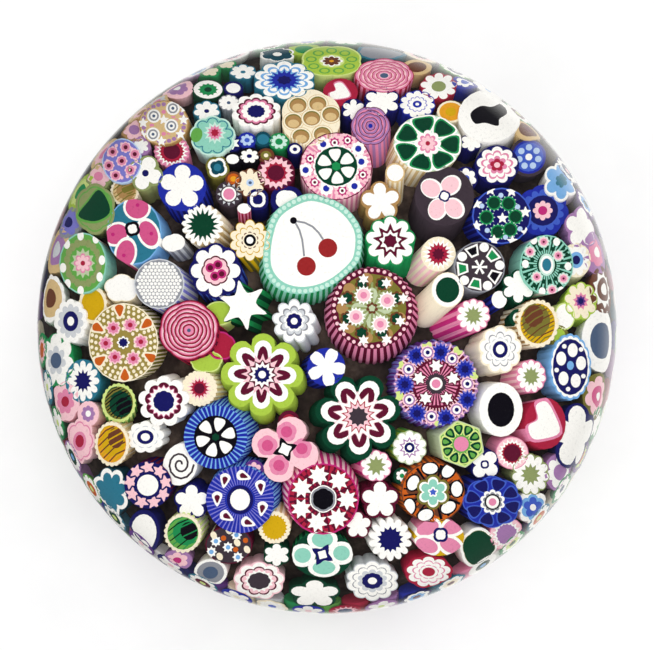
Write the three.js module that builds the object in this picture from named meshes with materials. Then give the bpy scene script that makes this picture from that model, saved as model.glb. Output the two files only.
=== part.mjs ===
// A glass paperweight of the close-packed millefiori kind, in millimetres, +Z up.
// A clear dome covers a mound of patterned glass canes. The canes stand on a domed ground,
// and a clear base layer closes the underside inside a flat foot ring, which is at Z = 0.
import * as THREE from "three";

// Driving dimensions of the dome.
const WIDEST_RADIUS = 38;
const WIDEST_HEIGHT = 21;
const TOP_HEIGHT = 54;
const FOOT_RADIUS = 24;
const FOOT_EDGE = 0.6;

// The mound: the ellipsoid that the faces of all the canes lie on.
const MOUND_RADIUS = 32;
const MOUND_HEIGHT = 41;
const MOUND_MIDDLE = 18;

// The base layer and the domed ground above it.
const BORE_RADIUS = 20.3;
const BASE_RADIUS = 20;
const BASE_UNDERSIDE = 0.8;
const BASE_HOLLOW = 0.9;
const BASE_TOP = 4.6;
const GROUND_RADIUS = 18;
const GROUND_HEIGHT = 20;
const GAP = 0.3;

// The canes fan out from one point under the base, and narrow towards it.
const FAN_POINT = new THREE.Vector3(-2.5, 0, -5);
const CANE_LENGTH = 12;
const CANE_TAPER = 0.68;
const FACE_CLEARANCE = 1.2;
const ROUND_CORNERS = 16;
const CORNERS_PER_LOBE = 4;
const LOBE_DEPTH = 0.12;

// The dome magnifies, so the canes are laid out as an eye sees them through it, looking down
// from the front. A seen place is in millimetres right of and above the middle of the view.
const REFRACTIVE_INDEX = 1.5;
const VIEW_TILT = THREE.MathUtils.degToRad(15);
const VIEW_DISTANCE = 700;
const VIEW_TARGET = new THREE.Vector3(0, 0, 22);
const VIEW_RIGHT = new THREE.Vector3(1, 0, 0);
const VIEW_UP = new THREE.Vector3(0, Math.cos(VIEW_TILT), Math.sin(VIEW_TILT));
const VIEW_BACK = new THREE.Vector3(0, -Math.sin(VIEW_TILT), Math.cos(VIEW_TILT));

const WHITE = 0xf6f1e6;
const IVORY = 0xe2d2ae;
const GREY = 0x8d9298;
const NAVY = 0x1b1f66;
const COBALT = 0x2540b0;
const SKY = 0x7ba8cf;
const TEAL = 0x2f7f86;
const MINT = 0x8fd0b8;
const GREEN = 0x1c6b3c;
const LIME = 0xa9c84a;
const OLIVE = 0x7a6a2c;
const AMBER = 0xc98a1c;
const ORANGE = 0xb5601c;
const BROWN = 0x5a3324;
const MAROON = 0x6a1834;
const CRIMSON = 0xb0304e;
const PINK = 0xd06a90;
const ROSE = 0xe6b0b8;
const PURPLE = 0x5a4a9a;

// Each cane that is a node: name, seen place, half width and half height as seen, lobes, colour.
const CANES = [
  ["cherry_cane", -1.6, 10.6, 5.5, 5.5, 0, WHITE],
  ["sage_garden_cane", 5.9, 2.2, 5.2, 5.2, 0, OLIVE],
  ["purple_star_garden_cane", 14.3, -7.7, 5.5, 5.5, 0, PURPLE],
  ["lime_flower_cane", -8.5, -6.5, 5.1, 5.1, 8, LIME],
  ["dark_green_flower_cane", 3.9, -11.8, 4.9, 4.9, 7, GREEN],
  ["seven_star_cane", -0.5, -22.8, 4.5, 4.3, 0, CRIMSON],
  ["blue_spoke_cane", -14.6, -14.7, 3.9, 3.9, 0, COBALT],
  ["blue_teardrop_cane", -11.4, -22.9, 3.8, 3.6, 0, COBALT],
  ["orange_teardrop_cane", -26.7, -2.3, 4.3, 5.0, 0, AMBER],
  ["rose_cane", -18.1, -0.7, 3.9, 3.9, 0, PINK],
  ["green_spoke_cane", 1.2, 20.8, 4.6, 4.3, 0, GREEN],
  ["amber_dot_cane", 13.9, -21.9, 4.1, 3.8, 0, ORANGE],
  ["pink_butterfly_cane", -5.5, -16.3, 3.5, 3.2, 4, ROSE],
  ["mint_petal_cane", -0.6, -30.1, 4.0, 2.9, 4, MINT],
  ["cobalt_petal_cane", 21.7, -23.2, 3.7, 3.1, 0, COBALT],
  ["blue_daisy_cane", 8.3, -28.1, 2.7, 2.6, 0, NAVY],
  ["pink_bow_cane", 14.7, -27.8, 3.1, 2.1, 4, CRIMSON],
  ["egg_ring_cane", 22.8, -11.1, 2.7, 3.4, 0, WHITE],
  ["lime_hexagon_cane", 17.6, -15.6, 2.7, 2.7, 6, LIME],
  ["ivory_lace_cane", 22.7, -3.2, 2.6, 2.8, 0, WHITE],
  ["blue_egg_cane", 31.9, -5.5, 2.7, 4.4, 0, SKY],
  ["ochre_well_cane", 27.6, 0.2, 2.4, 2.5, 0, OLIVE],
  ["filigree_garden_cane", 28.8, 7.9, 3.3, 3.7, 0, GREEN],
  ["star_garden_cane", 22.9, 14.3, 3.8, 3.6, 0, TEAL],
  ["outline_garden_cane", 20.0, 7.6, 3.1, 3.1, 0, GREY],
  ["brown_petal_cane", 15.4, 16.9, 3.4, 3.4, 0, BROWN],
  ["green_seven_petal_cane", 13.2, 23.8, 4.3, 3.4, 7, GREEN],
  ["silhouette_cane", 21.3, 27.4, 3.5, 2.6, 0, WHITE],
  ["pink_rose_cane", 7.5, 32.7, 3.7, 2.1, 0, PINK],
  ["mauve_rose_cane", 5.7, 26.1, 2.2, 2.2, 0, PINK],
  ["honeycomb_cane", -2.1, 27.2, 3.3, 2.8, 6, IVORY],
  ["lime_brown_flower_cane", 0.6, 34.6, 3.0, 1.5, 0, LIME],
  ["blue_starburst_cane", -5.6, 32.1, 3.2, 1.9, 0, SKY],
  ["purple_flower_cane", -9.3, 28.0, 3.0, 2.0, 9, PURPLE],
  ["teal_star_cane", -15.0, 24.8, 2.8, 2.6, 0, TEAL],
  ["ring_garden_cane", -21.4, 26.5, 3.0, 2.5, 0, GREY],
  ["lavender_garden_cane", -26.9, 21.5, 2.5, 2.8, 0, PURPLE],
  ["cobalt_blossom_cane", -19.0, 18.1, 3.2, 3.2, 0, COBALT],
  ["lime_heart_cane", -30.4, 15.2, 2.2, 2.8, 0, LIME],
  ["teal_petal_cane", -25.3, 12.2, 3.3, 4.1, 4, TEAL],
  ["green_dot_cane", -32.0, 8.1, 2.7, 3.6, 0, GREEN],
  ["navy_ring_cane", -33.6, 0.5, 1.8, 2.5, 0, GREY],
  ["basket_cane", -22.0, 5.4, 3.0, 2.9, 0, WHITE],
  ["navy_blossom_cane", -14.6, 7.1, 3.2, 3.3, 0, NAVY],
  ["green_burst_cane", -16.3, 13.1, 2.5, 2.5, 0, GREEN],
  ["gold_scallop_cane", -10.1, 11.1, 2.5, 2.5, 0, AMBER],
  ["white_star_cane", -11.0, 2.6, 2.5, 2.5, 6, WHITE],
  ["grey_lace_cane", -4.3, 0.5, 2.3, 2.3, 0, GREY],
  ["blue_blossom_cane", -0.1, -5.5, 2.1, 2.1, 5, COBALT],
  ["leaf_green_cane", 8.3, 11.0, 2.7, 2.7, 0, GREEN],
  ["white_tube_cane", 15.8, 4.6, 2.0, 2.0, 0, WHITE],
  ["maroon_oval_cane", -21.4, -10.0, 2.7, 2.9, 0, MAROON],
  ["navy_star_cane", -23.5, -21.0, 2.6, 2.6, 0, NAVY],
  ["spiral_cane", -19.3, -18.3, 1.7, 2.0, 0, WHITE],
  ["amber_well_cane", -28.2, -15.6, 1.7, 2.5, 0, AMBER],
  ["green_well_cane", -18.9, -27.3, 2.1, 2.4, 0, GREEN],
  ["crimson_heart_cane", 28.6, -12.9, 1.9, 2.6, 0, CRIMSON],
];

const GLASS = { color: 0xe8f2f4, roughness: 0.03, metalness: 0 };
const GROUND = { color: 0x5d534b, roughness: 0.35, metalness: 0 };
const CANE_GLOSS = { roughness: 0.25, metalness: 0 };

const paperweight = new THREE.Group();

function addMesh(name, geometry, look) {
  const mesh = new THREE.Mesh(geometry, new THREE.MeshStandardMaterial(look));
  mesh.name = name;
  paperweight.add(mesh);
}

// A solid turned about Z from its profile of (radius, height) points.
function turned(profile, segments) {
  const geometry = new THREE.LatheGeometry(profile, segments);
  geometry.rotateX(Math.PI / 2);
  return geometry;
}

// Points of an ellipse's quarter, from one angle above the level to another.
function ellipsePoints(radius, middle, halfHeight, fromAngle, toAngle, steps) {
  const points = [];
  for (let step = 0; step <= steps; step += 1) {
    const angle = fromAngle + ((toAngle - fromAngle) * step) / steps;
    points.push(new THREE.Vector2(radius * Math.cos(angle), middle + halfHeight * Math.sin(angle)));
  }
  return points;
}

// Half height of the ellipse that is widest at (wide, middle) and passes (narrow, height) below it.
function undersideReach(wide, middle, narrow, height) {
  return (middle - height) / Math.sqrt(1 - (narrow / wide) ** 2);
}

const DOME_UNDERSIDE = undersideReach(WIDEST_RADIUS, WIDEST_HEIGHT, FOOT_RADIUS, 0);

function clearGlassDome() {
  const cavityRadius = MOUND_RADIUS + FACE_CLEARANCE;
  const cavityHalfHeight = MOUND_HEIGHT - MOUND_MIDDLE + FACE_CLEARANCE;
  const shelf = BASE_TOP + GAP;
  const cavityUnderside = undersideReach(cavityRadius, MOUND_MIDDLE, BORE_RADIUS, shelf);
  const shelfAngle = -Math.asin((MOUND_MIDDLE - shelf) / cavityUnderside);
  const footAngle = -Math.asin((WIDEST_HEIGHT - FOOT_EDGE) / DOME_UNDERSIDE);
  const upperHalf = TOP_HEIGHT - WIDEST_HEIGHT;
  const profile = [
    ...ellipsePoints(cavityRadius, MOUND_MIDDLE, cavityHalfHeight, Math.PI / 2, 0, 8),
    ...ellipsePoints(cavityRadius, MOUND_MIDDLE, cavityUnderside, 0, shelfAngle, 4).slice(1),
    new THREE.Vector2(BORE_RADIUS, 0),
    new THREE.Vector2(FOOT_RADIUS - FOOT_EDGE, 0),
    ...ellipsePoints(WIDEST_RADIUS, WIDEST_HEIGHT, DOME_UNDERSIDE, footAngle, 0, 6),
    ...ellipsePoints(WIDEST_RADIUS, WIDEST_HEIGHT, upperHalf, 0, Math.PI / 2, 10).slice(1),
  ];
  profile[0].x = 0;
  profile[profile.length - 1].x = 0;
  return turned(profile, 40);
}

// A clear disc whose underside is ground a little hollow in the middle.
function basePad() {
  const profile = [
    new THREE.Vector2(0, BASE_UNDERSIDE + BASE_HOLLOW),
    new THREE.Vector2(BASE_RADIUS * 0.55, BASE_UNDERSIDE + BASE_HOLLOW * 0.75),
    new THREE.Vector2(BASE_RADIUS * 0.9, BASE_UNDERSIDE),
    new THREE.Vector2(BASE_RADIUS, BASE_UNDERSIDE),
    new THREE.Vector2(BASE_RADIUS, BASE_TOP),
    new THREE.Vector2(0, BASE_TOP),
  ];
  return turned(profile, 40);
}

function groundCushion() {
  const floor = BASE_TOP + GAP;
  const dome = ellipsePoints(GROUND_RADIUS, floor, GROUND_HEIGHT, 0, Math.PI / 2, 6);
  dome[dome.length - 1].x = 0;
  return turned([new THREE.Vector2(0, floor), ...dome], 24);
}

// Where a ray enters an ellipsoid about Z, and the surface's direction there.
function meetEllipsoid(ray, radius, middle, halfHeight) {
  const squeeze = new THREE.Vector3(1, 1, radius / halfHeight);
  const shift = new THREE.Vector3(0, 0, middle);
  const origin = ray.origin.clone().sub(shift).multiply(squeeze);
  const direction = ray.direction.clone().multiply(squeeze).normalize();
  const onSphere = new THREE.Ray(origin, direction).intersectSphere(
    new THREE.Sphere(new THREE.Vector3(), radius),
    new THREE.Vector3(),
  );
  const normal = onSphere.clone().multiply(squeeze).normalize();
  return { point: onSphere.divide(squeeze).add(shift), normal };
}

function meetDome(ray) {
  const above = meetEllipsoid(ray, WIDEST_RADIUS, WIDEST_HEIGHT, TOP_HEIGHT - WIDEST_HEIGHT);
  if (above.point.z >= WIDEST_HEIGHT) {
    return above;
  }
  return meetEllipsoid(ray, WIDEST_RADIUS, WIDEST_HEIGHT, DOME_UNDERSIDE);
}

// Snell's law for a ray that goes from air into the glass.
function bentInGlass(direction, normal) {
  const ratio = 1 / REFRACTIVE_INDEX;
  const cosine = -direction.dot(normal);
  const turn = ratio * cosine - Math.sqrt(1 - ratio ** 2 * (1 - cosine ** 2));
  return direction.clone().multiplyScalar(ratio).addScaledVector(normal, turn);
}

// The point of the mound that the eye sees at a seen place.
function pointOnMound(across, along) {
  const eye = VIEW_TARGET.clone().addScaledVector(VIEW_BACK, VIEW_DISTANCE);
  const place = VIEW_TARGET.clone().addScaledVector(VIEW_RIGHT, across).addScaledVector(VIEW_UP, along);
  const aim = place.sub(eye).normalize();
  const entry = meetDome(new THREE.Ray(eye, aim));
  const inside = new THREE.Ray(entry.point, bentInGlass(aim, entry.normal));
  return meetEllipsoid(inside, MOUND_RADIUS, MOUND_MIDDLE, MOUND_HEIGHT - MOUND_MIDDLE).point;
}

// The outline of a cane's face, in seen millimetres, round or lobed.
function faceOutline(halfWidth, halfHeight, lobes) {
  const corners = lobes > 0 ? lobes * CORNERS_PER_LOBE : ROUND_CORNERS;
  const points = [];
  for (let corner = 0; corner < corners; corner += 1) {
    const angle = (corner / corners) * 2 * Math.PI;
    const reach = 1 - (LOBE_DEPTH * (1 - Math.cos(lobes * angle))) / 2;
    const onEllipse = new THREE.Vector2(halfWidth * Math.cos(angle), halfHeight * Math.sin(angle));
    points.push(onEllipse.multiplyScalar(reach));
  }
  return new THREE.Shape(points);
}

// A cane whose face lies on the mound and whose body narrows towards the fan point.
function cane(across, along, halfWidth, halfHeight, lobes) {
  const stepAcross = halfWidth / 2;
  const stepAlong = halfHeight / 2;
  const right = pointOnMound(across + stepAcross, along).sub(pointOnMound(across - stepAcross, along));
  const up = pointOnMound(across, along + stepAlong).sub(pointOnMound(across, along - stepAlong));
  const face = pointOnMound(across, along);
  const outward = face.clone().sub(FAN_POINT).normalize();
  const toPlace = new THREE.Matrix4()
    .makeBasis(right.divideScalar(2 * stepAcross), up.divideScalar(2 * stepAlong), outward)
    .setPosition(face);
  const geometry = new THREE.ExtrudeGeometry(faceOutline(halfWidth, halfHeight, lobes), {
    depth: CANE_LENGTH,
    bevelEnabled: false,
  });
  geometry.translate(0, 0, -CANE_LENGTH);
  const positions = geometry.getAttribute("position");
  for (let index = 0; index < positions.count; index += 1) {
    const depth = -positions.getZ(index) / CANE_LENGTH;
    const width = 1 - (1 - CANE_TAPER) * depth;
    positions.setX(index, positions.getX(index) * width);
    positions.setY(index, positions.getY(index) * width);
  }
  return geometry.applyMatrix4(toPlace);
}

addMesh("clear_glass_dome", clearGlassDome(), GLASS);
addMesh("base_pad", basePad(), GLASS);
addMesh("ground_cushion", groundCushion(), GROUND);
for (const [name, across, along, halfWidth, halfHeight, lobes, color] of CANES) {
  addMesh(name, cane(across, along, halfWidth, halfHeight, lobes), { color, ...CANE_GLOSS });
}

export default paperweight;
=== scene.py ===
import math
import random

import bpy
import numpy as np
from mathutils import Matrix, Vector
from mathutils.geometry import delaunay_2d_cdt


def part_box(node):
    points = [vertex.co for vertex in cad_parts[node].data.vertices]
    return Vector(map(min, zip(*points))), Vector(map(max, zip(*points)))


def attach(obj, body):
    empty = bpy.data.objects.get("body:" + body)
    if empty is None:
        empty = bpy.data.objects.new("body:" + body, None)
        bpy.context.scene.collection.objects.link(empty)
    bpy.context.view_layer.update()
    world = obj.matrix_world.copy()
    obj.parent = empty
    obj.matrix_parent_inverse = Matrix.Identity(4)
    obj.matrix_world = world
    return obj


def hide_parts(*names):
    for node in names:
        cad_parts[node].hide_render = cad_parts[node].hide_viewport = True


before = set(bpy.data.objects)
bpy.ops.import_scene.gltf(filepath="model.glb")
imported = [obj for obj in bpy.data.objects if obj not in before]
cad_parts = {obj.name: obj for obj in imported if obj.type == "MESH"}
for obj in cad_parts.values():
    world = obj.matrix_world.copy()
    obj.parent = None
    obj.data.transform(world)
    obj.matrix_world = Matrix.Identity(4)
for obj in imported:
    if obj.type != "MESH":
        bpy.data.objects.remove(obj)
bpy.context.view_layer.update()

# The glass is laid out in millimetres, and each mesh is built in metres.
MM = 0.001

# The dome, from the frame and from the widths that its section needs.
dome_low, dome_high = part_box("clear_glass_dome")
WIDEST_RADIUS = (dome_high.x - dome_low.x) / 2 / MM
TOP_HEIGHT = dome_high.z / MM
WIDEST_HEIGHT = 21.0
FOOT_RADIUS = 24.0
UNDERSIDE = WIDEST_HEIGHT / math.sqrt(1 - (FOOT_RADIUS / WIDEST_RADIUS) ** 2)

# The mound that the cane faces lie on, and the point that all the canes fan out from.
MOUND_RADIUS = 32.0
MOUND_MIDDLE = 18.0
MOUND_HALF = 23.0
FAN_POINT = np.array([-2.5, 0.0, -5.0])
CANE_LENGTH = 11.0

# The eye that the canes are laid out for, looking down from the front.
TILT = math.radians(15)
EYE_DISTANCE = 700.0
TARGET = np.array([0.0, 0.0, 22.0])
RIGHT = np.array([1.0, 0.0, 0.0])
UP = np.array([0.0, math.cos(TILT), math.sin(TILT)])
BACK = np.array([0.0, -math.sin(TILT), math.cos(TILT)])
GLASS_INDEX = 1.5
# Rays are traced to this seen radius, and past it places go on down the side of the mound.
RIM = 36.8
SLIDE_STEPS = 16
SEARCH_STEPS = 40
SEARCH_PACE = 0.8


def meet_ellipsoid(origin, direction, radius, middle, half):
    """Where rays enter an ellipsoid about Z, and the surface's direction there."""
    squeeze = np.array([1.0, 1.0, radius / half])
    start = (origin - [0.0, 0.0, middle]) * squeeze
    way = direction * squeeze
    a = (way * way).sum(1)
    b = (start * way).sum(1)
    c = (start * start).sum(1) - radius**2
    steps = (-b - np.sqrt(np.maximum(b * b - a * c, 0))) / a
    point = origin + steps[:, None] * direction
    normal = (point - [0.0, 0.0, middle]) * squeeze**2
    return point, normal / np.linalg.norm(normal, axis=1)[:, None]


def bent_in_glass(direction, normal):
    """Snell's law for rays that go from air into the glass."""
    ratio = 1 / GLASS_INDEX
    cosine = -(direction * normal).sum(1)
    turn = ratio * cosine - np.sqrt(1 - ratio**2 * (1 - cosine**2))
    return ratio * direction + turn[:, None] * normal


def down_the_side(point, distance):
    """Points of the mound moved down its side by these distances."""
    azimuth = np.arctan2(point[:, 1], point[:, 0])
    angle = np.arcsin(np.clip((point[:, 2] - MOUND_MIDDLE) / MOUND_HALF, -1, 1))
    for _ in range(SLIDE_STEPS):
        pace = np.hypot(MOUND_RADIUS * np.sin(angle), MOUND_HALF * np.cos(angle))
        angle = angle - distance / SLIDE_STEPS / pace
    reach = MOUND_RADIUS * np.cos(angle)
    height = MOUND_MIDDLE + MOUND_HALF * np.sin(angle)
    return np.stack([reach * np.cos(azimuth), reach * np.sin(azimuth), height], 1)


def on_mound(seen):
    """The mound's points that the eye sees at these seen places. Past the rim they go on down the side."""
    seen = np.asarray(seen, float).reshape(-1, 2)
    distance = np.maximum(np.linalg.norm(seen, axis=1), 1e-9)
    inside = seen * np.minimum(1, RIM / distance)[:, None]
    eye = TARGET + EYE_DISTANCE * BACK
    aim = TARGET + inside[:, :1] * RIGHT + inside[:, 1:] * UP - eye
    aim /= np.linalg.norm(aim, axis=1)[:, None]
    origin = np.broadcast_to(eye, aim.shape)
    upper, upper_normal = meet_ellipsoid(origin, aim, WIDEST_RADIUS, WIDEST_HEIGHT,
                                         TOP_HEIGHT - WIDEST_HEIGHT)
    lower, lower_normal = meet_ellipsoid(origin, aim, WIDEST_RADIUS, WIDEST_HEIGHT, UNDERSIDE)
    is_upper = (upper[:, 2] >= WIDEST_HEIGHT)[:, None]
    entry = np.where(is_upper, upper, lower)
    normal = np.where(is_upper, upper_normal, lower_normal)
    point, _ = meet_ellipsoid(entry, bent_in_glass(aim, normal), MOUND_RADIUS, MOUND_MIDDLE, MOUND_HALF)
    return down_the_side(point, np.maximum(distance - RIM, 0))


def seen_place(point):
    """The seen place of a point on the mound: the flat view of it, moved until its ray meets the point."""
    def flat(p):
        return np.array([(p - TARGET) @ RIGHT, (p - TARGET) @ UP])
    seen = flat(point)
    for _ in range(SEARCH_STEPS):
        seen = seen + SEARCH_PACE * (flat(point) - flat(on_mound(seen)[0]))
    return seen


# Outlines: arrays of points in millimetres about a cane's centre, as the eye sees it.

def turned(outline, degrees):
    """The outline turned anticlockwise about its centre."""
    angle = math.radians(degrees)
    cosine, sine = math.cos(angle), math.sin(angle)
    return outline @ np.array([[cosine, sine], [-sine, cosine]])


POINTED = 0


def lobed(count, radius, dip=0.15, tall=1.0, turn=90.0, shape=0.75):
    """An outline with lobes, the first at turn degrees. Dip is how far the notches come in.

    A shape of about 0.5 gives fat lobes, one over 1 thin ones, and POINTED gives points.
    """
    steps = count * (8 if count < 12 else 6)
    angle = np.arange(steps) * 2 * math.pi / steps
    half = count * angle / 2
    wave = np.abs(np.sin(half)) if shape == POINTED else 1 - np.abs(np.cos(half)) ** shape
    reach = radius * (1 - dip * wave)
    angle = angle + math.radians(turn)
    return np.stack([reach * np.cos(angle), tall * reach * np.sin(angle)], 1)


def disc(radius, tall=1.0, turn=0.0, corners=20):
    """A circle, or an ellipse that is tall times as high as it is wide."""
    angle = np.arange(corners) * 2 * math.pi / corners
    return turned(np.stack([radius * np.cos(angle), tall * radius * np.sin(angle)], 1), turn)


def smooth(*corners, steps=4):
    """A closed curve through these corners (Catmull-Rom)."""
    p = np.array(corners, float)
    before, after, beyond = np.roll(p, 1, 0), np.roll(p, -1, 0), np.roll(p, -2, 0)
    curve = []
    for t in np.arange(steps) / steps:
        curve.append(0.5 * (2 * p + (after - before) * t
                            + (2 * before - 5 * p + 4 * after - beyond) * t**2
                            + (3 * p - before - 3 * after + beyond) * t**3))
    return np.stack(curve, 1).reshape(-1, 2)


def stroke(width, *points):
    """A strip of this width along an open line of points."""
    p = np.array(points, float)
    way = np.gradient(p, axis=0)
    side = np.stack([-way[:, 1], way[:, 0]], 1) / np.linalg.norm(way, axis=1)[:, None] * width / 2
    return np.concatenate([p + side, (p - side)[::-1]])


def wedge(inner, outer, width):
    """A tooth that points along +x from radius inner to outer, width wide at its outer end."""
    narrow = width * 0.55
    return np.array([[inner, -narrow / 2], [outer, -width / 2], [outer, width / 2], [inner, narrow / 2]])


def blade(inner, outer, width):
    """A wedge with round corners."""
    return smooth((inner, 0), (0.5 * (inner + outer), -0.42 * width), (outer - 0.1, -0.45 * width),
                  (outer + 0.05, 0), (outer - 0.1, 0.45 * width), (0.5 * (inner + outer), 0.42 * width),
                  steps=3)


def drop(length, width):
    """A teardrop along +x, with its point inwards."""
    return smooth((-0.5 * length, 0), (-0.1 * length, -0.36 * width), (0.3 * length, -0.5 * width),
                  (0.5 * length, 0), (0.3 * length, 0.5 * width), (-0.1 * length, 0.36 * width), steps=3)


# Layers: (colour, outline) pairs, painted in order. A cane's first layer is its whole face.

def nest(*rings, tall=1.0, turn=90.0, x=0.0, y=0.0):
    """Rings one in another, the largest first: (colour, radius), or (colour, radius, lobes, dip, shape)."""
    layers = []
    for colour, radius, *edge in rings:
        if edge:
            lobes, dip, *shape = edge
            outline = lobed(lobes, radius, dip, tall, turn, *shape)
        else:
            outline = disc(radius, tall)
        layers.append((colour, outline + [x, y]))
    return layers


def spots(colour, outline, *places):
    """Copies of an outline at each of these places."""
    return [(colour, outline + np.array(place)) for place in places]


def nests(rings, *places):
    """The same nest at each of these places."""
    return [layer for x, y in places for layer in nest(*rings, x=x, y=y)]


def around(count, ring, colour, outline, turn=90.0, tall=1.0):
    """Copies of an outline that points along +x, turned about the centre at radius ring."""
    return [(colour, turned(outline + [ring, 0], turn + k * 360 / count) * [1, tall]) for k in range(count)]


def teeth(count, inner, outer, colour, share=0.5, tall=1.0):
    """A ring of wedges that take up this share of the way round."""
    return around(count, 0, colour, wedge(inner, outer, 2 * math.pi * outer / count * share), tall=tall)


def petals(count, ring, radius, colour, turn=90.0, tall=1.0):
    """A ring of round petals."""
    return around(count, ring, colour, disc(radius, corners=14), turn, tall)


def wavy_rings(count, radius, step, colours, lobes, dip, twist, first_turn=0, tall=1.0):
    """Rings in rings, each turned a little more. Colours are pairs of a colour and how far in it starts."""
    layers = []
    for k in range(count):
        rings = [(colour, radius - step * k - inset, lobes, dip) for colour, inset in colours]
        layers += nest(*rings, tall=tall, turn=first_turn + twist * k)
    return layers


# The opaque coloured glass of the canes: each colour and the name of the record's slot listed beside it.
GLASS_COLOURS = {
    "white": ((250, 248, 243), "white"), "cream": ((244, 232, 205), "ivory"),
    "beige": ((214, 184, 132), "ivory"), "tan": ((170, 132, 82), "olive"),
    "pale_grey": ((205, 208, 212), "grey"), "grey": ((140, 142, 150), "grey"),
    "black": ((14, 12, 20), "navy"), "navy": ((24, 24, 92), "navy"), "cobalt": ((34, 46, 158), "cobalt"),
    "blue": ((64, 92, 192), "cobalt"), "sky": ((118, 172, 224), "sky_blue"),
    "pale_blue": ((184, 206, 236), "sky_blue"), "lavender": ((122, 120, 200), "purple"),
    "slate": ((74, 92, 120), "teal"), "teal": ((44, 116, 140), "teal"), "deep_teal": ((18, 68, 84), "teal"),
    "mint": ((140, 204, 184), "mint"), "pale_mint": ((198, 230, 216), "mint"),
    "deep_green": ((12, 62, 42), "green"), "green": ((30, 138, 78), "green"),
    "leaf": ((98, 164, 74), "lime"), "sage": ((140, 152, 98), "olive"),
    "pale_sage": ((188, 200, 164), "mint"), "lime": ((166, 196, 70), "lime"),
    "pale_lime": ((206, 224, 134), "lime"), "olive": ((118, 112, 48), "olive"),
    "brown": ((104, 60, 40), "brown"), "khaki": ((152, 134, 66), "olive"),
    "mustard": ((206, 164, 20), "amber"), "amber": ((224, 156, 38), "amber"),
    "orange": ((196, 92, 30), "orange"), "maroon": ((92, 20, 46), "maroon"),
    "crimson": ((166, 34, 62), "crimson"), "charcoal": ((62, 52, 60), "brown"),
    "red": ((150, 38, 40), "crimson"), "pink": ((206, 84, 134), "pink"), "rose": ((224, 134, 168), "pink"),
    "light_pink": ((246, 198, 206), "light_pink"), "magenta": ((188, 44, 116), "pink"),
    "purple": ((96, 52, 132), "purple"), "mauve": ((164, 120, 172), "purple"),
}


def linear(rgb):
    """A screen colour from 0 to 255 as the linear colour that shaders take."""
    return [((c / 255 + 0.055) / 1.055) ** 2.4 if c > 10 else c / 255 / 12.92 for c in rgb]


def node(material, kind, **sockets):
    """A new shader node, with its inputs set or linked by name."""
    made = material.node_tree.nodes.new(kind)
    for name, value in sockets.items():
        socket = made.inputs[name.replace("_", " ")]
        if isinstance(value, bpy.types.NodeSocket):
            material.node_tree.links.new(value, socket)
        else:
            socket.default_value = value
    return made


def new_material(name):
    material = bpy.data.materials.new(name)
    material.use_nodes = True
    material.node_tree.nodes.clear()
    return material


def ramp(material, factor, *stops):
    """Colours blended by a factor, given as places from 0 to 1 and their colours."""
    made = node(material, "ShaderNodeValToRGB", Fac=factor)
    elements = made.color_ramp.elements
    while len(elements) < len(stops):
        elements.new(0.5)
    for element, (place, colour) in zip(elements, stops):
        element.position = place
        element.color = (*colour, 1)
    return made.outputs["Color"]


def streaked(material, scale, roughness, detail=4.0):
    """Noise drawn out along the cane, as the glass is when the cane is pulled."""
    grain = node(material, "ShaderNodeAttribute")
    grain.attribute_name = "grain"
    noise = node(material, "ShaderNodeTexNoise", Vector=grain.outputs["Vector"], Scale=scale,
                 Detail=detail, Roughness=roughness)
    return noise.outputs["Fac"]


def cane_glass(name):
    """Opaque coloured glass with fine streaks, a little darker or paler than its own colour."""
    colour = np.array(linear(GLASS_COLOURS[name][0]))
    material = new_material(name + "_glass")
    streaks = streaked(material, scale=2.6, roughness=0.65)
    dull_spots = streaked(material, scale=5.0, roughness=0.5, detail=2.0)
    shade = ramp(material, streaks, (0.25, colour * 0.72), (0.45, colour), (0.6, colour),
                 (0.8, colour * 0.96 + 0.02))
    finish = node(material, "ShaderNodeMapRange", Value=dull_spots, To_Min=0.3, To_Max=0.6)
    shader = node(material, "ShaderNodeBsdfPrincipled", Base_Color=shade, Roughness=finish.outputs["Result"],
                  Specular_IOR_Level=0.0)
    node(material, "ShaderNodeOutputMaterial", Surface=shader.outputs["BSDF"])
    return material


# The glass made so far, by colour, and the place and radius of each cane so far.
glass_materials = {}
placed = []


def glass_material(colour):
    if colour not in glass_materials:
        glass_materials[colour] = cane_glass(colour)
    return glass_materials[colour]


# Building a cane.

SIDE_STEPS = (0.12, 0.3, 0.55, 0.8, 1.0)
LEAN_DEPTH = 3.0
FACE_GRID = 1.3
SMALL_SINK = 0.4
DEPTH_GRAIN = 0.12
RIB_DEPTH = 0.12
CORNERS_PER_RIB = 4


def resampled(outline, count):
    """The same closed outline with this many evenly spaced points."""
    closed = np.vstack([outline, outline[:1]])
    along = np.concatenate([[0], np.cumsum(np.linalg.norm(np.diff(closed, axis=0), axis=1))])
    places = np.arange(count) * along[-1] / count
    return np.stack([np.interp(places, along, closed[:, i]) for i in range(2)], 1)


def anticlockwise(outline):
    """The outline in the order that the triangulation needs."""
    x, y = outline.T
    return outline if (x * np.roll(y, -1) - y * np.roll(x, -1)).sum() > 0 else outline[::-1]


def parted_face(layers):
    """The face cut into flat-coloured triangles: points, triangles and each triangle's layer."""
    outlines = [anticlockwise(outline) for _, outline in layers]
    reach = np.abs(outlines[0]).max()
    ticks = np.arange(-reach, reach, FACE_GRID) + FACE_GRID / 2
    grid = [(x, y) for y in ticks for x in ticks if point_inside(outlines[0] * 0.93, x, y)]
    points = [Vector(p) for outline in outlines for p in outline] + [Vector(p) for p in grid]
    loops, first = [], 0
    for outline in outlines:
        loops.append(list(range(first, first + len(outline))))
        first += len(outline)
    found, _, triangles, _, _, sources = delaunay_2d_cdt(points, [], loops, 0, 1e-4, True)
    kept = [(list(t), max(s)) for t, s in zip(triangles, sources) if 0 in s]
    return np.array([tuple(p) for p in found]), [t for t, _ in kept], [s for _, s in kept]


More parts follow.
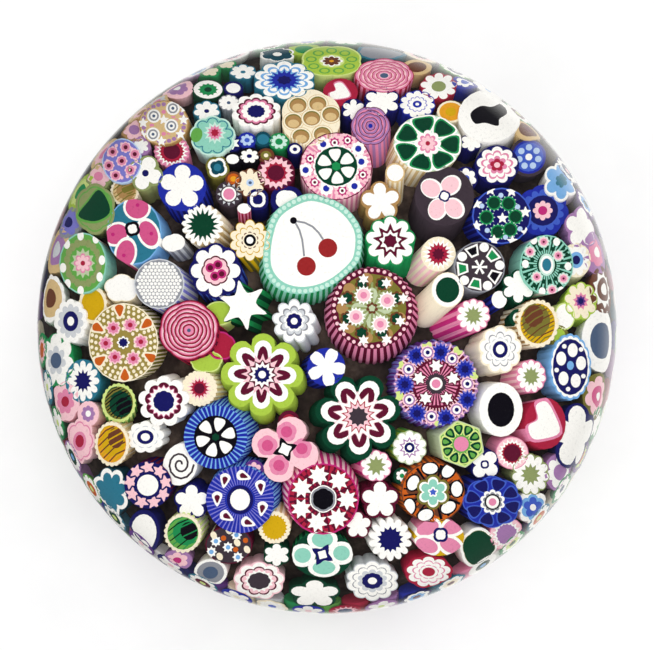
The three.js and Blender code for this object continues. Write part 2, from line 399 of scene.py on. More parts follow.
def point_inside(outline, x, y):
    """Whether a line to the left of the point crosses the outline an odd number of times."""
    a, b = outline, np.roll(outline, -1, 0)
    crosses = (a[:, 1] > y) != (b[:, 1] > y)
    rise = np.where(crosses, b[:, 1] - a[:, 1], 1)
    return bool((crosses & (x < a[:, 0] + (y - a[:, 1]) / rise * (b[:, 0] - a[:, 0]))).sum() % 2)


def edge_loop(triangles, sources):
    """The face's outer edge in order, as points with the layer beside each edge."""
    owner = {}
    for triangle, source in zip(triangles, sources):
        for a, b in zip(triangle, triangle[1:] + triangle[:1]):
            owner[(a, b)] = source
    following = {a: (b, source) for (a, b), source in owner.items() if (b, a) not in owner}
    start = next(iter(following))
    loop, point = [], start
    while True:
        after, source = following[point]
        loop.append((point, source))
        point = after
        if point == start or len(loop) > len(following):
            return loop


def face_centre(name):
    """The middle of a CAD cane's face: the end furthest from the point that the canes fan out from."""
    corners = np.array([v.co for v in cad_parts[name].data.vertices]) / MM
    distance = np.linalg.norm(corners - FAN_POINT, axis=1)
    return corners[distance > (distance.min() + distance.max()) / 2].mean(0)


def inward(points):
    """Directions from these points to the point that the canes fan out from."""
    way = FAN_POINT - points
    return way / np.linalg.norm(way, axis=1)[:, None]


def new_piece(name, points, faces, colours, materials):
    """A mesh object in metres that rides on the only body."""
    mesh = bpy.data.meshes.new(name)
    mesh.from_pydata((np.asarray(points) * MM).tolist(), [], faces)
    for material in materials:
        mesh.materials.append(material)
    mesh.polygons.foreach_set("material_index", colours)
    piece = bpy.data.objects.new(name, mesh)
    bpy.context.scene.collection.objects.link(piece)
    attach(piece, "root")
    return piece


def set_grain(piece, grain):
    """Each point's place in its cane, which the streaks follow."""
    attribute = piece.data.attributes.new("grain", "FLOAT_VECTOR", "POINT")
    attribute.data.foreach_set("vector", np.asarray(grain, np.float32).ravel())


def millefiori(name, layers, at=None, lean=(0, 0), flare=0.0, ribs=None, sink=None):
    """One cane: a patterned face on the mound, and sides that run in towards the fan point.

    lean is how far the cane's foot shows to one side of its face, flare how far its shoulder
    stands out, ribs (colour, colour, count) the ribbed coat on its sides, and sink its depth.
    """
    cad_node = name + "_cane"
    if sink is None:
        sink = SMALL_SINK if at else 0.0
    centre = np.array(at, float) if at is not None else seen_place(face_centre(cad_node))
    if ribs:
        layers = [(layers[0][0], resampled(layers[0][1], ribs[2] * CORNERS_PER_RIB))] + layers[1:]
    flat, triangles, sources = parted_face(layers)
    colours = [layers[s][0] for s in sources]
    loop = edge_loop(triangles, sources)
    edge = np.array([flat[point] for point, _ in loop])
    placed.append((on_mound(centre)[0], np.linalg.norm(edge, axis=1).mean()))
    outward = edge / np.maximum(np.linalg.norm(edge, axis=1), 1e-6)[:, None]

    face = on_mound(flat + centre)
    face = face + inward(face) * sink
    points, faces, grain = [face], [list(t) for t in triangles], [np.column_stack([flat, flat[:, 0] * 0])]
    last = [point for point, _ in loop]
    total = len(flat)
    rib_wave = 1 + RIB_DEPTH * np.cos(np.arange(len(loop)) * 2 * math.pi / CORNERS_PER_RIB) if ribs else 1.0
    side_colours = side_colouring(layers, loop, ribs)
    for step in SIDE_STEPS + (CANE_LENGTH / LEAN_DEPTH,):
        bulge = flare * min(1, step / SIDE_STEPS[2]) * rib_wave
        seen = centre + edge + outward * np.reshape(bulge, (-1, 1)) + np.array(lean) * min(step, 1)
        ring = on_mound(seen)
        ring = ring + inward(ring) * (sink + step * LEAN_DEPTH)
        points.append(ring)
        grain.append(np.column_stack([edge, np.full(len(edge), step * LEAN_DEPTH * DEPTH_GRAIN)]))
        new = list(range(total, total + len(loop)))
        total += len(loop)
        for k in range(len(loop)):
            after = (k + 1) % len(loop)
            faces.append([last[k], new[k], new[after], last[after]])
            colours.append(side_colours[k])
        last = new
    faces.append(last[::-1])
    colours.append(layers[0][0])

    used = sorted(set(colours))
    piece = new_piece(name + "_millefiori", np.vstack(points), faces, [used.index(c) for c in colours],
                      [glass_material(c) for c in used])
    set_grain(piece, np.vstack(grain))
    piece.data.polygons.foreach_set("use_smooth", [True] * len(faces))
    rim = {frozenset((loop[k][0], loop[k - 1][0])) for k in range(len(loop))}
    for side in piece.data.edges:
        side.use_edge_sharp = frozenset(side.vertices) in rim
    if cad_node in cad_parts:
        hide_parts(cad_node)
    return piece


def side_colouring(layers, loop, ribs):
    """The colour of each strip of the sides: two in turn where there are ribs, else the face's edge."""
    if not ribs:
        return [layers[source][0] for _, source in loop]
    return [ribs[(k + 1) // (CORNERS_PER_RIB // 2) % 2] for k in range(len(loop))]


def ring_sector(k):
    """One of five outlined pieces around a middle, and the bead after it."""
    angle = 41 + k * 72
    filling = "black" if k in (1, 4) else "green"
    return [("white", turned(wedge(1.5, 2.95, 1.9), angle)), (filling, turned(wedge(1.75, 2.7, 1.3), angle)),
            ("white", turned(disc(0.62) + [2.65, 0], angle + 36))]


def heart(size):
    """A heart that points to the right, as tall as it is long."""
    return turned(smooth((0, -1.0), (0.75, -0.2), (1.0, 0.45), (0.55, 0.9), (0, 0.5),
                         (-0.55, 0.9), (-1.0, 0.45), (-0.75, -0.2)) * size,
                  65)


def spiral_line(width):
    """A stripe that goes twice round from the middle outwards, a little taller than wide."""
    angle = np.linspace(0, 4 * math.pi, 26)
    reach = 0.2 + 0.8 * angle / (2 * math.pi)
    return stroke(width, *zip(reach * np.cos(angle), 1.15 * reach * np.sin(angle)))


def star(count, outer, inner, turn=90.0):
    """A star with round tips."""
    corners = []
    for k in range(2 * count):
        angle = math.radians(turn + k * 180 / count)
        reach = inner if k % 2 else outer
        corners.append((reach * math.cos(angle), reach * math.sin(angle)))
    return smooth(*corners)


# The large canes around the middle, each drawn from its own centre.


def cherry_face():
    """A white face with two cherries on thin stems, in a coat of green glass with pale beads."""
    plate = smooth((0.1, 5.6), (3.1, 4.4), (5.1, 1.9), (5.2, -0.9), (4.4, -2.6), (1.6, -4.8), (-1.4, -5.6),
                   (-3.9, -5.1), (-5.4, -3.6), (-5.8, -1.6), (-5.4, 1.4), (-4.4, 3.7), (-1.9, 5.3))
    beads = [("pale_mint", disc(0.3, corners=8) + place) for place in resampled(plate * 1.1, 52)]
    stems = [("grey", stroke(0.26, (-2.6, 2.9), (-2.0, 1.8), (-1.65, 0.6), (-1.5, -0.6), (-1.4, -1.6))),
             ("grey", stroke(0.26, (-2.4, 3.0), (-1.3, 2.8), (-0.3, 2.3), (0.5, 1.5), (1.1, 0.6)))]
    return ([("mint", plate * 1.17)] + beads + [("white", plate)] + stems
            + spots("red", disc(1.25), (1.7, -0.5), (-1.1, -2.9)) + spots("black", disc(0.45), (-2.8, 3.1)))


def sage_garden():
    """Four pink roses and a ring of small stars on a sage field, with dark clouds behind them."""
    rose = (("white", 1.3, 14, 0.25, POINTED), ("light_pink", 0.85), ("rose", 0.45))
    cloud = (("brown", 0.95, 7, 0.2), ("deep_green", 0.7, 6, 0.25))
    layers = nest(("maroon", 5.4), ("olive", 4.5))
    layers += petals(38, 5.0, 0.24, "light_pink") + petals(9, 3.9, 0.8, "tan", 60)
    layers += teeth(30, 2.0, 3.4, "sage")
    layers += nests(cloud, *[(3.5 * math.cos(a), 3.5 * math.sin(a)) for a in np.radians(range(22, 382, 45))])
    layers += nest(("pale_sage", 2.7, 8, 0.3)) + teeth(12, 0.5, 2.3, "sage", 0.35)
    layers += nest(("brown", 0.8, 7, 0.3), ("pale_sage", 0.45, 5, 0.3))
    layers += nests(rose, (-1.1, 1.7), (2.0, 1.0), (-2.1, -1.1), (1.1, -2.1))
    return layers + spots("white", lobed(6, 0.75, 0.45, shape=POINTED), (-1.1, 3.8), (1.9, 3.3), (4.1, 1.3),
                          (3.7, -1.7), (1.9, -4.1), (-1.1, -4.2), (-3.7, -2.4), (-3.9, 1.0))


def purple_star_garden():
    """Five stars between striped wedges, with a ring of eyes and violet bursts around them."""
    eye = (("light_pink", 0.95, 9, 0.2), ("mauve", 0.75), ("white", 0.55), ("navy", 0.28))
    burst = (("lavender", 1.45, 14, 0.3, POINTED), ("cobalt", 1.2, 12, 0.3, POINTED),
             ("navy", 0.6, 8, 0.3, POINTED))
    layers = (nest(("mauve", 5.7, 36, 0.06, POINTED), ("maroon", 5.2))
              + teeth(52, 3.2, 5.5, "light_pink", 0.35))
    layers += spots("pale_lime", disc(0.65, corners=9), (-1.2, 5.0), (2.9, 4.4), (-4.9, 2.6), (5.0, 1.2),
                    (-4.9, -1.6), (0.3, -5.0))
    layers += nests(burst, (-2.6, 3.7), (0.6, 4.1), (3.8, 1.9), (4.1, -2.1), (1.3, -4.5), (-2.5, -3.9),
                    (-4.1, -0.1))
    layers += nests(eye, (-1.1, 4.1), (2.1, 3.3), (4.1, 0.0), (2.7, -3.4), (-0.6, -4.3), (-3.5, -2.1),
                    (-3.6, 1.9))
    layers += nest(("rose", 3.0, 5, 0.08)) + teeth(34, 1.2, 2.95, "maroon")
    layers += around(5, 2.35, "maroon", lobed(6, 1.05, 0.3, shape=POINTED), 90)
    layers += around(5, 2.35, "white", lobed(6, 0.9, 0.42, shape=POINTED), 90)
    return layers + nest(("charcoal", 1.4, 9, 0.15), ("white", 0.85), ("rose", 0.58))


def lime_flower():
    return nest(("lime", 5.4, 8, 0.26, 0.5), ("white", 4.5, 8, 0.34, 0.6), ("maroon", 3.75, 8, 0.5, 1.2),
                ("light_pink", 2.75, 16, 0.3, POINTED), ("maroon", 2.0, 12, 0.2, POINTED),
                ("white", 1.8, 12, 0.3, POINTED), ("navy", 1.15, 12, 0.2, POINTED), ("white", 0.5), turn=88)


def dark_green_flower():
    return nest(("deep_green", 5.7, 7, 0.34, 0.5), ("white", 5.0, 7, 0.42, 0.6),
                ("maroon", 4.1, 7, 0.44, 0.9), ("light_pink", 3.35, 14, 0.32, POINTED),
                ("white", 3.15, 14, 0.32, POINTED), ("crimson", 2.3, 14, 0.32, POINTED),
                ("light_pink", 1.95, 14, 0.3, POINTED), ("charcoal", 1.35, 10, 0.25, POINTED), turn=15,
                x=0.2, y=-0.2)


def star_ring():
    white_star = lobed(8, 1.4, 0.4, shape=POINTED)
    return (nest(("magenta", 4.7), ("crimson", 4.5)) + teeth(34, 3.6, 4.45, "maroon", 0.4)
            + nest(("maroon", 3.9)) + teeth(24, 2.0, 4.1, "crimson", 0.3)
            + around(7, 3.15, "white", white_star, 101)
            + nest(("white", 1.8, 6, 0.05), ("grey", 1.65, 6, 0.05), ("black", 1.4, 6, 0.08)))


def blue_spoke():
    return (nest(("cobalt", 4.2)) + teeth(40, 2.8, 4.15, "sky", 0.35) + nest(("black", 2.85))
            + around(6, 0, "white", blade(0.75, 2.5, 1.5), 75) + nest(("deep_green", 0.5, 6, 0.2)))


def blue_teardrop():
    layers = nest(("cobalt", 4.5), tall=0.98) + teeth(46, 2.0, 4.45, "lavender", 0.3, tall=0.98)
    for x, y, degrees in ((0.5, 3.1, 160), (2.7, 1.6, 95), (2.9, -1.2, 80), (1.1, -3.0, 160),
                          (-1.7, -2.2, 150),
                          (-3.0, 0.1, 90), (-2.0, 2.5, 80)):
        layers.append(("white", turned(drop(2.0, 1.35), degrees) + [x, y]))
        layers.append(("maroon", turned(drop(1.1, 0.7), degrees) + [x, y]))
    return layers + nest(("navy", 1.75), ("white", 1.3), tall=1.08)


def orange_teardrop():
    """Six orange drops around mauve florets on a gold field sown with cream beads."""
    drops = ((-0.5, 4.2, 95), (3.0, 2.4, 40), (-3.3, 1.9, 150), (3.5, -1.9, -30), (-3.0, -2.3, 215),
             (0.2, -4.2, -90))
    florets = ((-1.3, 1.9), (0.9, 2.3), (-2.3, -0.1), (2.3, 0.1), (-1.1, -1.9), (1.3, -2.1))
    layers = nest(("cream", 4.6), ("khaki", 4.45), tall=1.13)
    for ring in (1.6, 2.3, 3.0, 3.6, 4.15):
        layers += petals(round(9 * ring), ring, 0.22, "cream", tall=1.13)
    for x, y, degrees in drops:
        layers.append(("cream", turned(drop(2.3, 1.7), degrees) + [x, y]))
        layers.append(("orange", turned(drop(1.6, 1.1), degrees) + [x, y]))
    return (layers
            + nests([("light_pink", 0.95, 8, 0.25), ("rose", 0.75, 8, 0.25), ("crimson", 0.32)], *florets)
            + nest(("white", 0.85, 8, 0.3), ("navy", 0.6, 8, 0.2)))


def rose():
    """Thin wavy rings that wind round a small blue-grey heart."""
    colours = (("maroon", 0), ("crimson", 0.1), ("rose", 0.24), ("light_pink", 0.42))
    return wavy_rings(7, 4.0, 0.52, colours, 6, 0.05, 11, 20) + nest(("rose", 0.6, 5, 0.1), ("slate", 0.25))


def green_spoke():
    pink_floret = (("light_pink", 1.1, 10, 0.25), ("magenta", 0.75, 8, 0.25, POINTED), ("white", 0.4),
                   ("maroon", 0.2))
    blue_floret = (("white", 0.95, 8, 0.2), ("cobalt", 0.42))
    return (nest(("maroon", 4.8), ("rose", 4.65), tall=0.93)
            + teeth(44, 3.2, 4.6, "light_pink", 0.4, tall=0.93)
            + nests(pink_floret, (-3.4, 1.0), (-0.2, 3.1), (-2.8, -2.1), (0.8, -3.2), (3.5, -1.1),
                    (1.5, 3.4))
            + nests(blue_floret, (-1.7, 2.9), (-4.0, -0.5), (-1.3, -2.9), (2.4, -2.6), (3.3, 0.6),
                    (2.9, 2.3)) + nest(("white", 3.1, 20, 0.1), ("deep_green", 2.8), tall=0.93)
            + around(6, 0, "white", blade(0.7, 2.4, 1.6), 95, 0.93) + nest(("green", 0.6, 6, 0.2)))


def amber_dots():
    dots = ((-0.4, 3.1, 0), (2.0, 2.8, 50), (3.1, 0.4, 90), (2.0, -2.0, 30), (-1.0, -3.0, 20),
            (-3.1, -1.9, 90), (-2.6, 1.2, 65))
    layers = nest(("brown", 4.2), ("orange", 4.05), tall=0.95) + nest(("brown", 3.6, 9, 0.2), tall=0.95)
    layers += teeth(22, 2.0, 3.9, "black", 0.35, tall=0.95) + teeth(14, 2.4, 3.9, "orange", 0.3, tall=0.95)
    for x, y, degrees in dots:
        layers.append(("black", disc(1.2, 0.8, degrees) + [x, y]))
        layers.append(("white", disc(1.0, 0.72, degrees) + [x, y]))
    return (layers
            + nest(("olive", 2.3, 6, 0.2), ("white", 2.0, 6, 0.3), ("mint", 1.7, 6, 0.35),
                   ("white", 0.7, 5, 0.4), ("blue", 0.5, 5, 0.4, POINTED)))


def pink_butterfly():
    layers = [("light_pink", lobed(4, 4.5, 0.45, 0.98, 72, 0.6))]
    for x, y in ((0.2, 2.3), (-2.3, 0.5), (2.2, 0.1), (-0.8, -2.1)):
        layers += nest(("rose", 1.35, 5, 0.1), ("pink", 0.75), x=x, y=y)
    return layers + nest(("black", 1.7, 4, 0.5, POINTED), ("white", 0.95, 4, 0.35, POINTED), turn=20)


millefiori("cherry", cherry_face(), flare=0.6, lean=(-0.1, -0.4), ribs=("mint", "green", 52))
millefiori("sage_garden", sage_garden(), flare=0.9, lean=(0.3, -0.8), ribs=("rose", "maroon", 40))
millefiori("purple_star_garden", purple_star_garden(), flare=0.4, ribs=("purple", "lavender", 40))
millefiori("lime_flower", lime_flower(), flare=0.4, lean=(0.2, -0.9))
millefiori("dark_green_flower", dark_green_flower(), flare=0.3, lean=(-0.5, -0.6))
millefiori("seven_star", star_ring(), flare=0.5, lean=(-0.3, 1.0), ribs=("magenta", "light_pink", 36))
millefiori("blue_spoke", blue_spoke(), flare=0.4, lean=(0.9, 0.8), ribs=("cobalt", "sky", 44))
millefiori("blue_teardrop", blue_teardrop(), flare=0.3, lean=(0.7, 0.7), ribs=("cobalt", "sky", 48))
millefiori("orange_teardrop", orange_teardrop(), lean=(0.6, 0.5), ribs=("cream", "olive", 40))
millefiori("rose", rose(), lean=(0.8, -0.6), ribs=("crimson", "maroon", 24))
millefiori("green_spoke", green_spoke(), lean=(0.2, -1.0), ribs=("light_pink", "rose", 40))
millefiori("amber_dot", amber_dots(), flare=0.2, lean=(-0.5, 0.4), ribs=("orange", "brown", 30))
millefiori("pink_butterfly", pink_butterfly(), lean=(0.5, -0.3))


# The middle-sized canes.

def scalloped(*rings, lobes, dip):
    """Concentric scalloped rings, given as colour and radius, the largest first."""
    return nest(*[(colour, radius, lobes, dip) for colour, radius in rings])


def well(rim, lit, middle, dark, radius=2.4, tall=1.0, shade=45.0, ridges=11):
    """A cane painted to look hollow: a ruffled rim, and ridged walls with painted shade that darkens towards
    the side that shade points to.
    """
    inner = radius * 0.82
    away = np.array([math.cos(math.radians(shade)), math.sin(math.radians(shade))]) * inner
    layers = nest((rim, radius, 22, 0.09), (lit, inner), tall=tall)
    # Painted shade: the middle and dark discs are moved towards the shaded side, so the lit colour shows as
    # a crescent on the other side.
    for colour, share in ((middle, 0.8), (dark, 0.55)):
        x, y = away * (0.97 - share)
        layers += nest((colour, inner * share), tall=tall, x=x, y=y * tall)
    for k in range(ridges):
        offset = inner * (2 * k + 1 - ridges) / ridges
        half = 0.93 * math.sqrt(inner**2 - offset**2)
        ridge = turned(stroke(0.15, (-half, offset), (0, offset + 0.2), (half, offset)), 30)
        layers.append((dark if k % 2 else middle, ridge * [1, tall]))
    return layers


def mint_petal():
    layers = [("deep_green", disc(4.0, 0.76))]
    for x, y, radius, tall in ((0.0, 2.0, 1.7, 0.75), (-2.6, -0.1, 1.4, 0.9), (2.5, 0.2, 1.4, 0.9),
                               (0.2, -1.7, 1.8, 0.6)):
        layers += nest(("white", radius + 0.3), ("mint", radius - 0.3), tall=tall, x=x, y=y)
    return layers + nest(("navy", 1.6, 4, 0.5, POINTED), ("white", 0.7, 4, 0.3, POINTED), turn=60)


def pink_bow():
    layers = [("mustard", disc(3.3, 0.75))]
    for x, y, tilt in ((-1.5, 1.2, 20), (1.9, 1.4, 25), (-1.6, -1.1, -20), (1.5, -1.1, -25)):
        layers.append(("white", disc(1.85, 0.72, tilt) + [x, y]))
        layers.append(("rose", disc(1.5, 0.62, tilt) + [x, y]))
    return layers + nest(("navy", 1.05, 4, 0.15), ("white", 0.7, 4, 0.15), turn=45, x=0.2, y=0.3)


def brown_petal():
    layers = nest(("charcoal", 3.9))
    for x, y, tilt in ((0.8, 1.4, 40), (-1.7, 1.0, 150), (-0.9, -1.7, 250), (1.3, -1.6, 310)):
        layers.append(("white", disc(1.5, 0.84, tilt) + [x, y]))
        layers.append(("light_pink", disc(1.28, 0.82, tilt) + [x - 0.1, y]))
    return layers + nest(("navy", 0.8, 4, 0.15), ("white", 0.55, 4, 0.15), turn=20)


def teal_petal():
    layers = nest(("sky", 3.6), ("teal", 3.45), tall=1.2)
    for x, y, wide, tall, tilt in ((0.4, 3.2, 1.45, 1.05, 70), (-2.3, -0.3, 1.25, 1.2, -60),
                                   (-1.1, -2.8, 1.2, 1.45, -10), (1.9, -0.2, 1.15, 1.5, 25)):
        layers.append(("white", disc(wide + 0.3, tall, tilt) + [x, y]))
        layers.append(("pink", disc(wide, tall, tilt) + [x, y]))
        layers.append(("magenta", disc(0.25) + [x * 1.2, y * 1.1]))
    return layers + nest(("black", 1.05, 4, 0.15), ("white", 0.65, 4, 0.15), turn=60, x=-0.2, y=0.4)


def spoked(count, *spokes, turn, tall=1.0):
    """Blades set on one another, each given as colour, inner end, outer end and width."""
    layers = []
    for colour, inner, outer, width in spokes:
        layers += around(count, 0, colour, blade(inner, outer, width), turn, tall)
    return layers


def lime_hexagon():
    layers = []
    for colour, radius in (("pale_sage", 3.15), ("pale_lime", 3.0), ("leaf", 2.85)):
        layers.append((colour, lobed(6, radius, 0.12, turn=100, shape=POINTED)))
    layers += spoked(10, ("pale_lime", 1.0, 2.65, 1.6), ("deep_green", 1.2, 2.5, 1.2),
                     ("leaf", 1.6, 2.4, 0.6), turn=100)
    return layers + nest(("leaf", 1.2), ("rose", 0.98))


def honeycomb():
    """Seven cells painted to look hollow in a cream block: olive and tan rings are painted shade inside each
    cell, thickest at the top, and its paler beige floor sits a little below its middle.
    """
    layers = [("cream", lobed(6, 4.0, 0.08, 0.92))]
    for x, y in ((-1.7, 1.6), (0.9, 1.8), (-2.3, -0.5), (0.1, -0.1), (2.6, 0.4), (-1.3, -2.5), (1.5, -2.2)):
        # Painted shade: the olive and tan rings stand in for the shade under each cell's upper rim.
        layers += nest(("beige", 1.42), ("cream", 1.34), ("olive", 1.12), tall=0.86, x=x, y=y)
        layers += nest(("tan", 1.04), tall=0.84, x=x, y=y - 0.08)
        layers += nest(("beige", 0.75), tall=0.7, x=x, y=y - 0.3)
    return layers


def basket():
    """White beads in rows on a grey disc, every other row moved half a bead along."""
    layers = nest(("pale_grey", 3.3), ("grey", 3.15))
    for row in range(-6, 7):
        for k in range(-6, 7):
            x, y = 0.5 * k + 0.25 * (row % 2), 0.44 * row
            if math.hypot(x, y) < 2.95:
                layers.append(("white", disc(0.24, corners=6) + [x, y]))
    return layers


def outline_garden():
    layers = nest(("grey", 3.35), ("charcoal", 3.2))
    for k in range(5):
        layers += ring_sector(k)
    return layers + [("white", turned(wedge(0, 1.0, 0.36), k * 60)) for k in range(6)]


def lime_heart():
    layers = nest(("sage", 2.7, 6, 0.08), ("leaf", 2.4, 6, 0.1), ("sage", 2.25, 6, 0.1), tall=1.25)
    layers.append(("leaf",
                   smooth((0.5, 2.8), (-1.1, 1.1), (-2.5, -1.1), (0.0, -1.9), (2.2, -0.6), (1.8, 1.6))))
    layers.append(("deep_green", smooth((0.4, 2.5), (-0.9, 1.0), (-2.2, -0.9), (0.0, -1.6), (1.9, -0.5),
                                        (1.5, 1.4))))
    return layers


NAVY_BLOSSOM_SEEDS = ((-0.1, -0.7), (0.8, -0.4), (0.3, 0.8), (-0.7, 0.4))

millefiori("mint_petal", mint_petal(), ribs=("deep_green", "green", 24))
millefiori("cobalt_petal",
           nest(("blue", 3.95, 8, 0.1), ("cobalt", 3.8, 8, 0.1), tall=0.86)
           + spoked(8, ("blue", 1.5, 3.6, 2.1), ("navy", 1.7, 3.4, 1.7), turn=75, tall=0.86)
           + nest(("white", 1.65, 10, 0.2), ("grey", 1.3, 10, 0.2), ("black", 1.05), ("white", 0.85),
                  ("rose", 0.5)),
           lean=(-0.6, 0.5), ribs=("cobalt", "navy", 24))
millefiori("blue_daisy", nest(("white", 2.85, 14, 0.26, 0.6), ("navy", 1.75, 14, 0.25, POINTED)),
           lean=(-0.4, 0.6))
millefiori("pink_bow", pink_bow(), lean=(-0.3, 0.5))
millefiori("egg_ring", nest(("white", 2.85), tall=1.25) + nest(("black", 1.75), tall=1.3), lean=(-0.7, 0.3))
millefiori("lime_hexagon", lime_hexagon(), lean=(-0.8, 0.4))
millefiori("ivory_lace",
           nest(("cream", 2.85, 9, 0.1), ("white", 2.7, 9, 0.2), ("grey", 2.1, 9, 0.24),
                ("white", 1.95, 9, 0.24), ("pale_grey", 1.45, 9, 0.2), ("white", 1.3), ("navy", 1.0),
                ("white", 0.55), tall=1.12),
           lean=(-0.9, -0.3))
millefiori("blue_egg",
           nest(("sky", 2.75, 18, 0.06), ("white", 2.55, 18, 0.06), ("navy", 2.3), tall=1.6)
           + spots("white", disc(0.65, 1.4), (0.3, 2.2), (-1.2, 1.1), (1.4, 0.5), (-0.9, -1.5), (0.7, -1.8))
           + spots("sky", disc(0.45, 1.3), (0.0, 0.2))
           + spots("white", disc(0.3), (-0.8, 2.7), (1.4, 2.3), (-1.8, -0.4), (-0.3, -2.9), (1.7, -1.2)),
           lean=(-0.7, 0.0))
# Painted shade: mustard is the lit wall, and olive and brown are the painted shade of the hollow.
millefiori("ochre_well", well("cream", "mustard", "olive", "brown", 2.8, 1.15, shade=120), lean=(-1.2, 0.0),
           ribs=("cream", "tan", 26))
millefiori("filigree_garden",
           nest(("mint", 3.5), ("deep_green", 3.35), tall=1.12)
           + teeth(34, 1.3, 3.3, "mint", 0.45, tall=1.12) + petals(15, 2.0, 0.28, "deep_green", tall=1.12)
           + petals(22, 2.9, 0.24, "deep_green", tall=1.12)
           + nests([("pale_mint", 0.8, 9, 0.2), ("light_pink", 0.62, 8, 0.2), ("rose", 0.4),
                    ("maroon", 0.16)], (-0.4, 3.0), (-2.2, 1.7), (1.5, 1.2), (-1.3, -1.6), (2.2, -1.8),
                   (0.7, -3.3))
           + spots("white", disc(0.45, 1.2), (-1.7, 3.2), (1.3, 3.0), (-2.8, 0.1), (2.8, -0.2),
                   (-0.6, -3.5), (1.9, -3.4))
           + nest(("pale_mint", 1.05), ("white", 0.85), ("teal", 0.6), tall=1.4),
           lean=(-0.4, 0.2))
millefiori("star_garden",
           nest(("blue", 3.9), ("navy", 3.7), tall=0.95)
           + nests([("pale_mint", 1.15, 12, 0.3, POINTED), ("green", 0.95), ("deep_green", 0.75)],
                   (-1.0, 1.7), (-2.0, -0.2), (1.8, -0.1), (-0.5, -2.1), (1.1, -1.8), (0.9, 1.6))
           + spots("white", lobed(5, 0.75, 0.5, shape=POINTED), (0.1, -0.3), (-1.5, 3.4), (1.3, 3.2),
                   (-3.3, 1.6), (3.1, 0.5), (-3.3, -1.3), (3.2, -2.2), (-1.0, -3.2), (1.4, -3.3))
           + spots("pale_blue", disc(0.33), (-0.1, 2.7), (2.1, 1.2), (-2.6, 1.3), (-1.9, -1.9), (0.5, -2.8),
                   (2.4, -1.7)),
           lean=(-0.5, 0.3), ribs=("cobalt", "navy", 26))
millefiori("outline_garden", outline_garden(), lean=(-0.6, -0.2))
millefiori("brown_petal", brown_petal(), lean=(-0.2, -1.6))
millefiori("green_seven_petal",
           nest(("pale_sage", 4.5), ("pale_mint", 4.35), tall=0.84)
           + spoked(7, ("white", 1.2, 4.3, 3.5), ("green", 1.45, 4.1, 2.95), ("deep_green", 1.7, 3.9, 2.4),
                    turn=100, tall=0.84)
           + nest(("white", 1.75, 8, 0.2), ("rose", 1.3, 8, 0.3), ("light_pink", 1.0, 8, 0.3),
                  ("crimson", 0.3)),
           lean=(-0.6, -0.8), ribs=("beige", "cream", 30))
millefiori("silhouette",
           nest(("white", 4.15), tall=0.84)
           + [("black",
               smooth((-2.5, 0.3), (-1.2, 1.3), (0.3, 1.2), (1.6, 1.6), (2.3, 0.4), (1.3, -0.4),
                      (1.1, -1.3), (-0.6, -0.9), (-1.9, -1.0)))],
           lean=(0.3, -1.0))
millefiori("pink_rose",
           wavy_rings(6, 3.9, 0.56, (("crimson", 0), ("rose", 0.12), ("light_pink", 0.4)), 8, 0.06, 15,
                      tall=0.58) + nest(("slate", 0.55), tall=0.6),
           lean=(0.0, -0.8), ribs=("rose", "crimson", 24))
millefiori("mauve_rose",
           wavy_rings(5, 2.6, 0.48, (("maroon", 0), ("mauve", 0.1), ("rose", 0.35)), 6, 0.07, 20)
           + nest(("cobalt", 0.3)),
           lean=(0.6, -1.7), ribs=("rose", "mauve", 20))
millefiori("honeycomb", honeycomb(), lean=(0.2, -1.3), ribs=("beige", "cream", 24))
millefiori("lime_brown_flower",
           [("pale_lime", lobed(4, 4.2, 0.1, 0.5, 45)), ("lime", lobed(4, 3.95, 0.1, 0.5, 45))]
           + petals(9, 2.7, 0.75, "leaf", tall=0.5) + petals(9, 2.7, 0.5, "lime", tall=0.5)
           + nest(("pale_lime", 1.7), ("white", 1.5, 8, 0.3), ("brown", 1.2, 8, 0.3), ("amber", 0.3),
                  tall=0.5),
           lean=(0.0, -0.6))
millefiori("blue_starburst",
           nest(("teal", 4.1, 10, 0.1), ("white", 4.0, 10, 0.22, 0.6), ("sky", 3.25, 10, 0.28, 0.6),
                ("white", 2.85, 10, 0.26), ("sky", 2.6, 16, 0.25, POINTED),
                ("cobalt", 2.3, 16, 0.35, POINTED), ("navy", 1.0, 8, 0.2, POINTED), tall=0.62),
           lean=(0.0, -0.8))
millefiori("purple_flower",
           nest(("white", 3.3, 10, 0.16), ("maroon", 2.6, 12, 0.14), ("rose", 2.3, 12, 0.14),
                ("white", 1.95, 12, 0.14), ("navy", 1.2, 12, 0.12), tall=0.7),
           lean=(0.1, -0.7))
millefiori("teal_star",
           nest(("pale_mint", 3.0, 9, 0.08), ("mint", 2.8, 9, 0.08), tall=0.88)
           + petals(9, 2.0, 0.75, "teal", tall=0.88) + petals(9, 2.0, 0.6, "mint", tall=0.88)
           + nest(("mint", 1.9))
           + nest(("pale_mint", 1.5, 12, 0.3, POINTED), ("rose", 1.05, 12, 0.3, POINTED),
                  ("crimson", 0.6, 8, 0.3, POINTED), x=0.3, y=0.4)
           + [("leaf", disc(0.75, 1.3, -20) + [-2.1, 0.1])],
           lean=(0.4, -0.5))
millefiori("ring_garden",
           nest(("tan", 3.3), ("beige", 3.15), tall=0.9) + petals(24, 2.7, 0.3, "mauve", tall=0.9)
           + petals(14, 1.6, 0.3, "rose", tall=0.9)
           + nests([("beige", 1.05), ("white", 0.9), ("grey", 0.66), ("white", 0.45), ("slate", 0.2)],
                   (-1.3, 0.9), (1.2, 1.9), (-1.4, -1.5), (1.0, -0.4))
           + spots("white", lobed(5, 0.7, 0.5, shape=POINTED), (0.0, 0.4), (2.7, 1.9), (2.6, 0.4),
                   (2.2, -1.5), (-2.7, 0.0), (-2.8, -1.6), (-0.3, -2.4)),
           lean=(0.5, -0.3))
